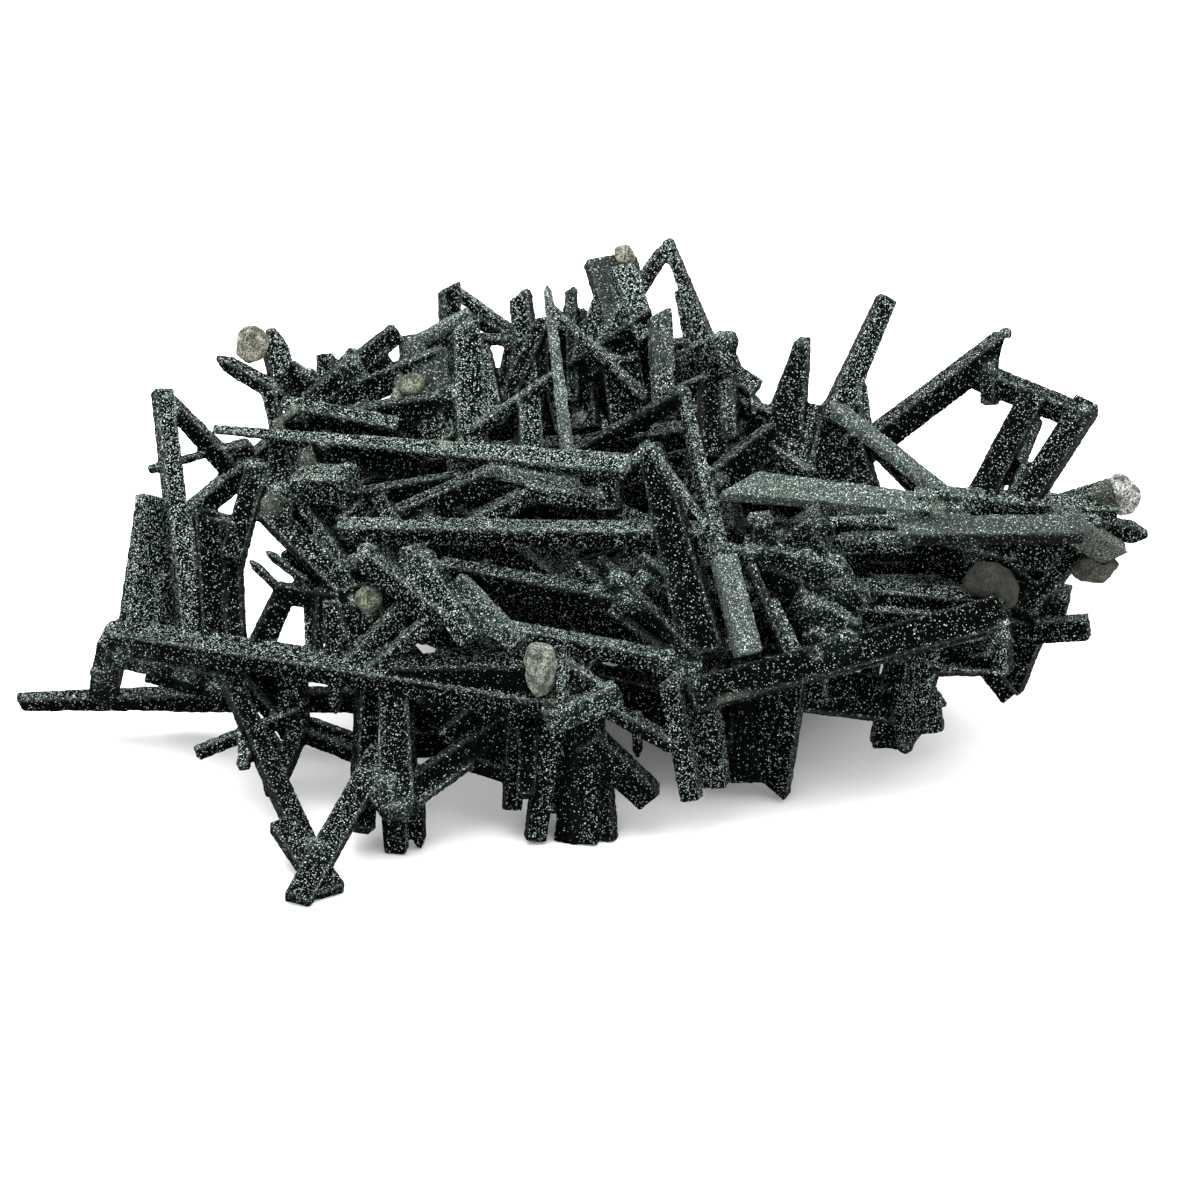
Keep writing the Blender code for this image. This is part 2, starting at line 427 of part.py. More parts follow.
def link_ends(rng):
    """Ends of a lath that runs from the back wall to the front laths."""
    along = rng.uniform(-20.0, 45.0)
    height = rng.uniform(10.0, 34.0)
    back = on_wall(along, height, 2.0)
    front = on_wall(along + rng.uniform(-8.0, 8.0), height + rng.uniform(-8.0, 4.0), 28.0)
    return back, front


def rule_made_laths():
    """Seeded laths of the back wall, and links from it to the front."""
    rng = random.Random(SEED)
    laths = []
    for kind, ends, count in (
        ("rafter", rafter_ends, BACK_RAFTERS),
        ("rail", rail_ends, BACK_RAILS),
        ("link", link_ends, BACK_LINKS),
    ):
        made = 0
        while made < count:
            start, end = ends(rng)
            width = rng.uniform(2.8, 5.4)
            thick = width * rng.uniform(0.5, 0.8)
            roll = rng.uniform(-35.0, 35.0)
            if keeps_inside(start, end, 12.0):
                laths.append(Lath(f"back_{kind}_{made:02d}", start, end, width, thick, roll))
                made += 1
    return laths


def make_material(name, colour, roughness):
    """Principled material of one node."""
    material = bpy.data.materials.new(name)
    material.use_nodes = True
    shader = material.node_tree.nodes["Principled BSDF"]
    shader.inputs["Base Color"].default_value = (*colour, 1.0)
    shader.inputs["Roughness"].default_value = roughness
    shader.inputs["Metallic"].default_value = 0.0
    return material


def link_object(name, mesh):
    """Link a mesh to the scene as a new object."""
    holder = bpy.data.objects.new(name, mesh)
    bpy.context.scene.collection.objects.link(holder)
    return holder


def evaluated_mesh(holder):
    """Mesh of an object with its modifiers applied."""
    depsgraph = bpy.context.evaluated_depsgraph_get()
    return bpy.data.meshes.new_from_object(holder.evaluated_get(depsgraph), depsgraph=depsgraph)


def remove_object(holder):
    """Remove an object and the mesh that only it used."""
    mesh = holder.data
    bpy.data.objects.remove(holder)
    if mesh.users == 0:
        bpy.data.meshes.remove(mesh)


def boolean_with(holder, operands, operation):
    """Apply one exact Boolean between an object and a list of meshes."""
    group = bpy.data.collections.new(holder.name + "_operands")
    bpy.context.scene.collection.children.link(group)
    helpers = []
    for mesh in operands:
        helper = bpy.data.objects.new(mesh.name, mesh)
        helper.hide_render = True
        helper.display_type = "WIRE"
        group.objects.link(helper)
        helpers.append(helper)
    modifier = holder.modifiers.new(operation.lower(), "BOOLEAN")
    modifier.operation = operation
    modifier.solver = "EXACT"
    modifier.operand_type = "COLLECTION"
    modifier.collection = group
    result = evaluated_mesh(holder)
    holder.modifiers.clear()
    old_mesh = holder.data
    holder.data = result
    bpy.data.meshes.remove(old_mesh)
    for helper in helpers:
        remove_object(helper)
    bpy.data.collections.remove(group)


def outer_shell(holder):
    """Clean a Boolean result and keep only its outermost closed shell."""
    shape = bmesh.new()
    shape.from_mesh(holder.data)
    bmesh.ops.remove_doubles(shape, verts=shape.verts, dist=MERGE)
    shells = []
    waiting = set(shape.faces)
    while waiting:
        stack = [waiting.pop()]
        shell = []
        while stack:
            face = stack.pop()
            shell.append(face)
            for edge in face.edges:
                for other in edge.link_faces:
                    if other in waiting:
                        waiting.discard(other)
                        stack.append(other)
        shells.append(shell)
    shells.sort(key=lambda shell: sum(face.calc_area() for face in shell), reverse=True)
    extra = [face for shell in shells[1:] for face in shell]
    bmesh.ops.delete(shape, geom=extra, context="FACES")
    bmesh.ops.triangulate(shape, faces=shape.faces)
    shape.to_mesh(holder.data)
    shape.free()


def ground_box():
    """Closed box below the level at which the lowest tips are worn flat."""
    mesh = bpy.data.meshes.new("ground")
    shape = bmesh.new()
    bmesh.ops.create_cube(shape, size=1.0)
    bmesh.ops.scale(shape, vec=(0.4, 0.4, 0.05), verts=shape.verts)
    bmesh.ops.translate(shape, vec=(0.0, 0.0, FOOT_TRIM - 0.025), verts=shape.verts)
    shape.to_mesh(mesh)
    shape.free()
    return mesh


def build_cluster(laths):
    """Join every lath into the one crystal solid."""
    cluster = link_object("crystal_cluster", lath_mesh(laths[0]))
    boolean_with(cluster, [lath_mesh(lath) for lath in laths[1:]], "UNION")
    boolean_with(cluster, [ground_box()], "DIFFERENCE")
    outer_shell(cluster)
    cluster.data.materials.clear()
    cluster.data.materials.append(make_material("chlorite_druse", (0.03, 0.05, 0.04), 0.45))
    return cluster


def reaches(lath, nodule):
    """True when a lath passes close enough to a nodule to be cut out of it."""
    start = place(*lath.start)
    end = place(*lath.end)
    middle = place(*nodule.middle)
    nearest, share = intersect_point_line(middle, start, end)
    nearest = start if share < 0.0 else end if share > 1.0 else nearest
    size = max(1.0, lath.grow) * (lath.width + lath.thick) + max(nodule.half)
    return (middle - nearest).length < size * MM


def build_nodule(nodule, laths):
    """Shape one nodule and cut it back from the laths it grew on."""
    rng = random.Random(nodule.name)
    mesh = bpy.data.meshes.new(nodule.name)
    shape = bmesh.new()
    bmesh.ops.create_icosphere(shape, subdivisions=2, radius=1.0)
    middle = place(*nodule.middle)
    for vert in shape.verts:
        swell = 1.0 + rng.uniform(-0.09, 0.09)
        vert.co = Vector(side * half * MM * swell for side, half in zip(vert.co, nodule.half)) + middle
    shape.to_mesh(mesh)
    shape.free()
    holder = link_object(nodule.name, mesh)
    boolean_with(holder, [lath_mesh(lath, GAP) for lath in laths if reaches(lath, nodule)], "DIFFERENCE")
    outer_shell(holder)
    holder.data.materials.clear()
    holder.data.materials.append(make_material(nodule.name + "_crust", nodule.colour, 0.8))
    return holder


def main():
    """Build the cluster and its nodules and set them on their feet."""
    for holder in list(bpy.data.objects):
        bpy.data.objects.remove(holder)
    laths = LEFT_FRAME + FRONT_LEGS + LONG_BARS + UPPER_LEFT + UPPER_MIDDLE + MIDDLE
    laths = laths + BOTTOM_POSTS + RIGHT_FRAME + BACK_PROPS + rule_made_laths()
    cluster = build_cluster(laths)
    nodules = [build_nodule(nodule, laths) for nodule in NODULES]
    corners = [vert.co for vert in cluster.data.vertices]
    low = [min(corner[axis] for corner in corners) for axis in range(3)]
    high = [max(corner[axis] for corner in corners) for axis in range(3)]
    shift = Vector((-(low[0] + high[0]) / 2.0, -(low[1] + high[1]) / 2.0, -low[2]))
    for holder in [cluster] + nodules:
        holder.data.transform(Matrix.Translation(shift))


main()
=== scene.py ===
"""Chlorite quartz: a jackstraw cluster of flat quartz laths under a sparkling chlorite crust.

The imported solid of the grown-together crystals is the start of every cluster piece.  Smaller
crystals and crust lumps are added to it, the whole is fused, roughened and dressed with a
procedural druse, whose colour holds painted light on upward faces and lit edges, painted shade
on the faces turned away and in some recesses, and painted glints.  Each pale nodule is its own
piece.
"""

import logging
import math
import random
from dataclasses import dataclass, replace
from enum import Enum

import bpy
import numpy as np
from mathutils import Matrix, Vector
from mathutils.bvhtree import BVHTree
from mathutils.kdtree import KDTree


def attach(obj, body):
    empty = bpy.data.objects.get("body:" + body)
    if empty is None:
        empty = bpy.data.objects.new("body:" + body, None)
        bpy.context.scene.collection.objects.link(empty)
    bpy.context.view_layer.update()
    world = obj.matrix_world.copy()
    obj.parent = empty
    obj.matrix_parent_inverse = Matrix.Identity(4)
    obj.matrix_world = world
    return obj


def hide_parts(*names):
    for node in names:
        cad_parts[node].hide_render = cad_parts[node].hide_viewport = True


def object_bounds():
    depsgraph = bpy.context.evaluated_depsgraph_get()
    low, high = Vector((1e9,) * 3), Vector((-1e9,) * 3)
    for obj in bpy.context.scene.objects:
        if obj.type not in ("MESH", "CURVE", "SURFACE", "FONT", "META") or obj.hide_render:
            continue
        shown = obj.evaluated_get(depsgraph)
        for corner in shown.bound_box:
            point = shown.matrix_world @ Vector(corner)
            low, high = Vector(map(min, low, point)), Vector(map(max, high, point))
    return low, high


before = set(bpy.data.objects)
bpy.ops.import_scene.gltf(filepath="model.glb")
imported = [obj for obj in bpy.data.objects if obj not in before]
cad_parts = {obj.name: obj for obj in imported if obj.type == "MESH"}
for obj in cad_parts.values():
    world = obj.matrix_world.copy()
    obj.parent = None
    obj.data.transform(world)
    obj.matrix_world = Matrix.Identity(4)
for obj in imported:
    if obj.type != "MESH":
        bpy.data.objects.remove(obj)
CAD_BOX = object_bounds()

MM = 0.001
SIGHT = 90.0             # millimetres out of the sheet, where every line of sight starts
BEHIND = 12.0            # millimetres out of the sheet, taken where nothing is seen
log = logging.getLogger("chlorite_quartz")


class Slot(Enum):
    """Material slots of the record."""

    DRUSE = "chlorite_druse"
    PALE = "pale_nodule"
    BROWN = "brown_nodule"


class End(Enum):
    """How the far end of a small crystal is finished."""

    SQUARE = "square"
    CHISEL = "chisel"
    POINT = "point"


# ---- layout ----


@dataclass(frozen=True)
class Layout:
    """The sheet on which the crystals are laid out, leaning back, and its place in the row frame.

    A place on it is (across, down, out): whole steps across and down, and millimetres out of it.
    """

    step: float = 0.125 * MM
    lean: float = math.radians(28.0)
    middle: float = 580.0
    foot: float = 742.0
    origin: tuple = (-0.2342 * MM, 3.0255 * MM, -0.4 * MM)

    @property
    def up(self) -> Vector:
        """Unit vector up the sheet."""
        return Vector((0.0, math.sin(self.lean), math.cos(self.lean)))

    @property
    def out(self) -> Vector:
        """Unit vector out of the sheet, towards the viewer."""
        return Vector((0.0, -math.cos(self.lean), math.sin(self.lean)))

    @property
    def axes(self) -> Matrix:
        """Axes across, up and out of the sheet, as the columns of a matrix."""
        return Matrix((Vector((1.0, 0.0, 0.0)), self.up, self.out)).transposed().to_4x4()

    def place(self, across: float, down: float, out: float) -> Vector:
        """Row-frame point of a layout place.

        Args:
            across: Steps from the left.
            down: Steps from the top.
            out: Millimetres out of the sheet.

        Returns:
            The point, in metres.
        """
        right = Vector(((across - self.middle) * self.step, 0.0, 0.0))
        rise = self.up * ((self.foot - down) * self.step)
        return Vector(self.origin) + right + rise + self.out * (out * MM)

    def sheet_of(self, points: np.ndarray) -> np.ndarray:
        """Layout places of many row-frame points.

        Args:
            points: Array of points, one a row, in metres.

        Returns:
            Array of (across, down, out), one a row.
        """
        local = points - np.array(self.origin)
        across = self.middle + local[:, 0] / self.step
        down = self.foot - local @ np.array(self.up) / self.step
        return np.column_stack((across, down, local @ np.array(self.out) / MM))


LAYOUT = Layout()


# ---- bench ----


def deselect_all() -> None:
    """Leave edit mode and deselect every object."""
    if bpy.context.object and bpy.context.object.mode != "OBJECT":
        bpy.ops.object.mode_set(mode="OBJECT")
    bpy.ops.object.select_all(action="DESELECT")


def pick(piece: bpy.types.Object) -> bpy.types.Object:
    """Select one object alone and make it active."""
    deselect_all()
    piece.select_set(True)
    bpy.context.view_layer.objects.active = piece
    return piece


def new_piece(name: str, mesh: bpy.types.Mesh) -> bpy.types.Object:
    """Link a mesh to the scene as an object of its own."""
    piece = bpy.data.objects.new(name, mesh)
    bpy.context.scene.collection.objects.link(piece)
    return piece


def drop(piece: bpy.types.Object) -> None:
    """Remove an object and its mesh."""
    mesh = piece.data
    bpy.data.objects.remove(piece)
    if mesh.users == 0:
        bpy.data.meshes.remove(mesh)


def apply_modifier(piece: bpy.types.Object, kind: str, **values: object) -> None:
    """Add one modifier to a piece and apply it.

    Args:
        piece: The object to work on.
        kind: Blender's modifier type.
        values: The modifier's settings.
    """
    pick(piece)
    modifier = piece.modifiers.new(kind.lower(), kind)
    for key, value in values.items():
        setattr(modifier, key, value)
    bpy.ops.object.modifier_apply(modifier=modifier.name)


def clouds(name: str, grain: float) -> bpy.types.Texture:
    """Procedural cloud texture of a name, made once, with features one grain wide."""
    pattern = bpy.data.textures.get(name) or bpy.data.textures.new(name, "CLOUDS")
    pattern.noise_scale = grain
    return pattern


def join(pieces: list[bpy.types.Object], name: str) -> bpy.types.Object:
    """Join several objects into the first of them.

    Args:
        pieces: The objects, the one to keep first.
        name: The name of the result.

    Returns:
        The joined object.
    """
    deselect_all()
    for piece in pieces:
        piece.select_set(True)
    bpy.context.view_layer.objects.active = pieces[0]
    if len(pieces) > 1:
        bpy.ops.object.join()
    pieces[0].name = name
    return pieces[0]


def merged_copy(node: str, name: str) -> bpy.types.Object:
    """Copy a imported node's mesh and merge its loose triangles into one surface."""
    piece = new_piece(name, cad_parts[node].data.copy())
    pick(piece)
    bpy.ops.object.mode_set(mode="EDIT")
    bpy.ops.mesh.select_all(action="SELECT")
    bpy.ops.mesh.remove_doubles(threshold=0.000001)
    bpy.ops.object.mode_set(mode="OBJECT")
    return piece


def search_tree(piece: bpy.types.Object) -> BVHTree:
    """Search tree of a piece's faces."""
    corners = [vertex.co.copy() for vertex in piece.data.vertices]
    return BVHTree.FromPolygons(corners, [tuple(face.vertices) for face in piece.data.polygons])


def points_of(piece: bpy.types.Object) -> np.ndarray:
    """Vertex places of a mesh, one a row."""
    places = np.zeros(len(piece.data.vertices) * 3, np.float32)
    piece.data.vertices.foreach_get("co", places)
    return places.reshape(-1, 3).astype(np.float64)


def normals_of(piece: bpy.types.Object) -> np.ndarray:
    """Vertex normals of a mesh, one a row."""
    normals = np.zeros(len(piece.data.vertices) * 3, np.float32)
    piece.data.vertex_normals.foreach_get("vector", normals)
    return normals.reshape(-1, 3).astype(np.float64)


def set_points(piece: bpy.types.Object, places: np.ndarray) -> None:
    """Move every vertex of a mesh."""
    piece.data.vertices.foreach_set("co", places.astype(np.float32).ravel())
    piece.data.update()


def set_values(piece: bpy.types.Object, name: str, values: np.ndarray) -> None:
    """Store one number a vertex as a named attribute."""
    layer = piece.data.attributes.new(name, "FLOAT", "POINT")
    layer.data.foreach_set("value", values.astype(np.float32))


# ---- finishes ----


class Bench:
    """Small helper that adds and links the nodes of one material."""

    def __init__(self, name: str) -> None:
        """Start an empty material with a Principled shader."""
        self.material = bpy.data.materials.new(name)
        self.material.use_nodes = True
        self.tree = self.material.node_tree
        self.shader = self.tree.nodes["Principled BSDF"]
        self.coordinates = self.tree.nodes.new("ShaderNodeTexCoord").outputs["Object"]

    def link(self, value: object, socket: bpy.types.NodeSocket) -> None:
        """Link an output to a socket, or set the socket's own value."""
        if isinstance(value, bpy.types.NodeSocket):
            self.tree.links.new(value, socket)
        else:
            socket.default_value = value

    def node(self, kind: str, **inputs: object) -> bpy.types.Node:
        """Add a node and link or set its named inputs, with _ for a space."""
        node = self.tree.nodes.new("ShaderNode" + kind)
        for name, value in inputs.items():
            self.link(value, node.inputs[name.replace("_", " ")])
        return node

    def noise(self, grain: float, detail: float = 3.0, rough: float = 0.6) -> bpy.types.NodeSocket:
        """Noise whose features are about one grain wide, in metres."""
        values = {"Scale": 1.0 / grain, "Detail": detail, "Roughness": rough}
        return self.node("TexNoise", Vector=self.coordinates, **values).outputs["Fac"]

    def cells(self, grain: float) -> tuple[bpy.types.NodeSocket, list[bpy.types.NodeSocket]]:
        """Voronoi cells one grain wide.

        Returns:
            The distance from a cell's middle, and three random numbers of the cell.
        """
        node = self.node("TexVoronoi", Vector=self.coordinates, Scale=1.0 / grain)
        split = self.node("SeparateColor", Color=node.outputs["Color"])
        return node.outputs["Distance"], [split.outputs[index] for index in range(3)]

    def attribute(self, name: str) -> bpy.types.NodeSocket:
        """A piece's own attribute, as a number."""
        node = self.node("Attribute")
        node.attribute_name = name
        return node.outputs["Fac"]

    def math(
        self, how: str, first: object, second: object, clamp: bool = False
    ) -> bpy.types.NodeSocket:
        """One Math node."""
        node = self.node("Math")
        node.operation = how
        node.use_clamp = clamp
        self.link(first, node.inputs[0])
        self.link(second, node.inputs[1])
        return node.outputs[0]

    def times(self, first: object, second: object, clamp: bool = False) -> bpy.types.NodeSocket:
        """Product of two values."""
        return self.math("MULTIPLY", first, second, clamp)

    def ramp(
        self, value: object, low: object, high: object, start: object = 0.0, stop: object = 1.0
    ) -> bpy.types.NodeSocket:
        """Map a value from low..high to start..stop, clamped."""
        ends = {"From_Min": low, "From_Max": high, "To_Min": start, "To_Max": stop}
        return self.node("MapRange", Value=value, **ends).outputs["Result"]

    def blend(self, share: object, first: object, second: object) -> bpy.types.NodeSocket:
        """Mix two colours by a share."""
        node = self.node("Mix")
        node.data_type = "RGBA"
        self.link(share, node.inputs["Factor"])
        for value, socket in ((first, node.inputs[6]), (second, node.inputs[7])):
            self.link((*value, 1.0) if isinstance(value, tuple) else value, socket)
        return node.outputs[2]

    def bump(self, height: bpy.types.NodeSocket, reach: float, strength: float) -> None:
        """Feed a height, in units of reach metres, to the shader's normal."""
        node = self.node("Bump", Distance=reach, Strength=strength, Height=height)
        self.link(node.outputs["Normal"], self.shader.inputs["Normal"])

    def finished(self, colour: object, rough: float, specular: float) -> bpy.types.Material:
        """Give the shader its colour and gloss, and return the material."""
        for name, value in (
            ("Base Color", colour), ("Roughness", rough), ("Specular IOR Level", specular),
        ):
            self.link(value, self.shader.inputs[name])
        return self.material


# What each vertex of the crystals carries.  The first layer, from -1 to 1, is chlorite dust
# together with painted light on upward faces and lit edges and painted shade on the faces turned
# away; the others run from 0 to 1, and of them rim is a painted highlight, the rest real colours.
LAYERS = ("dust", "crust", "bare", "tan", "pale", "rim")


@dataclass(frozen=True)
class DruseFinish:
    """Fine chlorite over dark green quartz; its sparkle is painted glints, with painted light on
    upward faces and painted shade on the rest.
    """

    # dark and lit: the quartz ground in painted shade and in painted light; mint and white: the
    # painted glints; rim: a painted highlight; crust, bare, tan and pale are real colours
    dark: tuple = (0.0005, 0.0008, 0.0007)
    lit: tuple = (0.0062, 0.0088, 0.0078)
    mint: tuple = (0.30, 0.40, 0.35)
    white: tuple = (0.86, 0.95, 0.91)
    bare: tuple = (0.062, 0.073, 0.070)
    crust: tuple = (0.012, 0.020, 0.016)
    rim: tuple = (0.085, 0.108, 0.096)
    tan: tuple = (0.092, 0.102, 0.084)
    pale: tuple = (0.30, 0.315, 0.27)
    flecks: tuple = ((0.145 * MM, 1.0), (0.19 * MM, 0.4))
    patches: float = 2.2 * MM
    clumps: float = 0.8 * MM
    mottling: float = 0.42 * MM
    grain: float = 0.36 * MM
    grit: float = 0.16 * MM
    relief: float = 0.10 * MM
    roughness: float = 0.6
    specular: float = 0.01

    def material(self) -> bpy.types.Material:
        """Build the material.

        Returns:
            The druse, which reads the attributes of LAYERS.
        """
        bench = Bench(Slot.DRUSE.value)
        dust, crust, bare, tan, pale, rim = (bench.attribute(name) for name in LAYERS)
        patch = bench.noise(self.patches, 4.0)
        mottle = bench.noise(self.mottling, 3.0, 0.7)
        grit = bench.noise(self.grit, 2.0, 0.8)

        # how thickly a place is dusted and how much painted light it gets, in patches
        dusted_and_lit = bench.times(dust, bench.ramp(patch, 0.32, 0.68, 0.7, 1.2), clamp=True)

        # ground colour under the painted glints: painted light on upward faces, painted shade on
        # the rest
        lit_share = bench.times(dusted_and_lit, bench.ramp(mottle, 0.35, 0.7))
        ground = bench.blend(lit_share, self.dark, self.lit)
        crusty = bench.times(crust, bench.ramp(mottle, 0.35, 0.65))
        ground = bench.blend(crusty, ground, self.crust)
        # the bare grey shows fully only where the painted light is strong
        greyed = bench.times(bare, bench.ramp(dust, 0.0, 0.8, 0.12, 1.0))
        greyed = bench.times(greyed, bench.ramp(patch, 0.3, 0.7, 0.7, 1.0))
        ground = bench.blend(greyed, ground, self.bare)
        uneven = bench.ramp(mottle, 0.2, 0.7, 0.4, 1.0)
        # tan and pale are real colours; rim is a painted highlight on lit edges and some crystals
        for share, colour in ((tan, self.tan), (pale, self.pale), (rim, self.rim)):
            ground = bench.blend(bench.times(share, uneven), ground, colour)

        # dark pits
        ground = bench.blend(bench.ramp(grit, 0.52, 0.46, 0.0, 0.9), ground, self.dark)

        # painted glints of a few sizes, each a random share of its cells, in clumps, fewer and
        # dimmer in the painted shade
        share = bench.ramp(dusted_and_lit, 0.0, 1.0, 0.18, 0.40)
        for thinner in (
            bench.ramp(dust, -0.8, 0.0, 0.3, 1.0),
            bench.ramp(bench.noise(self.clumps, 2.0), 0.36, 0.64, 0.8, 1.2),
            bench.ramp(bench.math("ADD", bare, tan), 0.0, 1.0, 1.0, 0.25),
        ):
            share = bench.times(share, thinner)
        power = bench.ramp(dusted_and_lit, 0.0, 0.6, 0.7, 1.0)
        ragged = bench.ramp(grit, 0.3, 0.7, -0.16, 0.16)
        colour = ground
        for grain, weight in self.flecks:
            distance, chance = bench.cells(grain)
            limit = bench.math("SUBTRACT", 1.0, bench.times(share, weight))
            lit_up = bench.ramp(chance[0], limit, bench.math("ADD", limit, 0.03))
            disc = bench.ramp(bench.math("ADD", distance, ragged), 0.50, 0.44)
            strength = bench.times(bench.ramp(chance[1], 0.0, 1.0, 0.3, 1.0), power)
            cover = bench.times(bench.times(lit_up, disc), strength)
            hue = bench.blend(bench.ramp(chance[2], 0.55, 1.0), self.mint, self.white)
            colour = bench.blend(cover, colour, hue)

        distance, chance = bench.cells(self.grain)
        height = bench.times(chance[0], bench.ramp(distance, 0.7, 0.1))
        bench.bump(bench.math("ADD", height, mottle), self.relief, 0.55)
        return bench.finished(colour, self.roughness, self.specular)


@dataclass(frozen=True)
class NoduleFinish:
    """Matt, pitted crust of a pale nodule."""

    slot: Slot
    light: tuple
    shade: tuple
    stain: tuple
    clouds: float = 1.4 * MM
    pits: float = 0.22 * MM
    grain: float = 0.5 * MM
    relief: float = 0.25 * MM
    roughness: float = 0.85
    specular: float = 0.2

    def material(self, name: str) -> bpy.types.Material:
        """Build the material under a name of its own."""
        bench = Bench(name)
        patch = bench.noise(self.clouds, 4.0, 0.65)
        fine = bench.noise(self.pits, 3.0, 0.7)
        distance, chance = bench.cells(self.grain)
        colour = bench.blend(bench.ramp(patch, 0.40, 0.60), self.shade, self.light)
        pitted = bench.times(bench.ramp(fine, 0.48, 0.56), 0.9)
        flecked = bench.times(bench.ramp(chance[0], 0.80, 0.84), bench.ramp(distance, 0.5, 0.3))
        for cover in (pitted, bench.times(flecked, 0.7)):
            colour = bench.blend(cover, colour, self.stain)
        bench.bump(bench.math("ADD", fine, bench.times(distance, 0.6)), self.relief, 0.9)
        return bench.finished(colour, self.roughness, self.specular)


@dataclass(frozen=True)
class FloorFinish:
    """Plain white table."""

    colour: tuple = (0.88, 0.88, 0.88, 1.0)
    roughness: float = 0.7
    specular: float = 0.1

    def material(self) -> bpy.types.Material:
        """Build the material."""
        return Bench("white_table").finished(self.colour, self.roughness, self.specular)


# ---- small crystals ----


@dataclass(frozen=True)
class Crystal:
    """One straight crystal: its ends on the sheet, its section at the start, turn and growth.

    Growth is the section at its end, as a share of the section at its start.
    """

    start: tuple
    end: tuple
    width: float
    thick: float
    roll: float = 0.0
    grow: float = 1.0

    @classmethod
    def of(cls, row: tuple) -> "Crystal":
        """The crystal of one row: its start, its end, and the rest of its fields."""
        return cls(row[:3], row[3:6], *row[6:])

    def frame(self) -> tuple[Vector, Matrix, float]:
        """Place of the crystal.

        Returns:
            Its start, the axes across, out and along it as the columns of a matrix, its length.
        """
        start = LAYOUT.place(*self.start)
        run = LAYOUT.place(*self.end) - start
        along = run.normalized()
        out = (LAYOUT.out - along * LAYOUT.out.dot(along)).normalized()
        out = Matrix.Rotation(math.radians(self.roll), 3, along) @ out
        return start, Matrix((out.cross(along), out, along)).transposed(), run.length

    def share(
        self, places: np.ndarray, slack: float = 0.3 * MM, soft: float = 0.15 * MM
    ) -> np.ndarray:
        """How far each place belongs to the crystal, from 0 to 1.

        Args:
            places: Row-frame points, one a row.
            slack: How far outside its faces a place may still belong to it.
            soft: Over what distance it stops belonging to it.

        Returns:
            One value a place.
        """
        start, axes, length = self.frame()
        local = (places - np.array(start)) @ np.array(axes)
        grown = 1.0 + (self.grow - 1.0) * np.clip(local[:, 2] / length, 0.0, 1.0)
        half = np.column_stack((self.width * grown, self.thick * grown)) * MM / 2.0
        over = np.max(np.abs(local[:, :2]) - half, axis=1)
        over = np.maximum(over, np.abs(local[:, 2] - length / 2.0) - length / 2.0)
        return np.clip((slack - over) / soft, 0.0, 1.0)


@dataclass(frozen=True)
class Sliver(Crystal):
    """A small crystal that is added to the solid.

    Where its ends are given without a depth, it lies on the crystals that are seen there.
    """

    finish: End = End.SQUARE
    # on the first layer a tone below zero is painted shade and one above zero painted light; on the
    # other layers it is a real colour
    tone: float = 0.0
    layer: str = "dust"


@dataclass(frozen=True)
class Lump:
    """One crust lump: its place on the sheet, half sizes in millimetres, and layer.

    It sits on the nearest crystal that is seen at its place, sunk by a share of its depth.
    """

    across: float
    down: float
    half: tuple
    layer: str = "crust"


def hand_laid(
    start: tuple, end: tuple, width: float, thick: float, roll: float,
    tone: float = 0.0, layer: str = "dust", finish: End = End.SQUARE,
) -> Sliver:
    """A sliver of an even section, from one row of SLIVERS."""
    return Sliver(start, end, width, thick, roll, 1.0, finish, tone, layer)
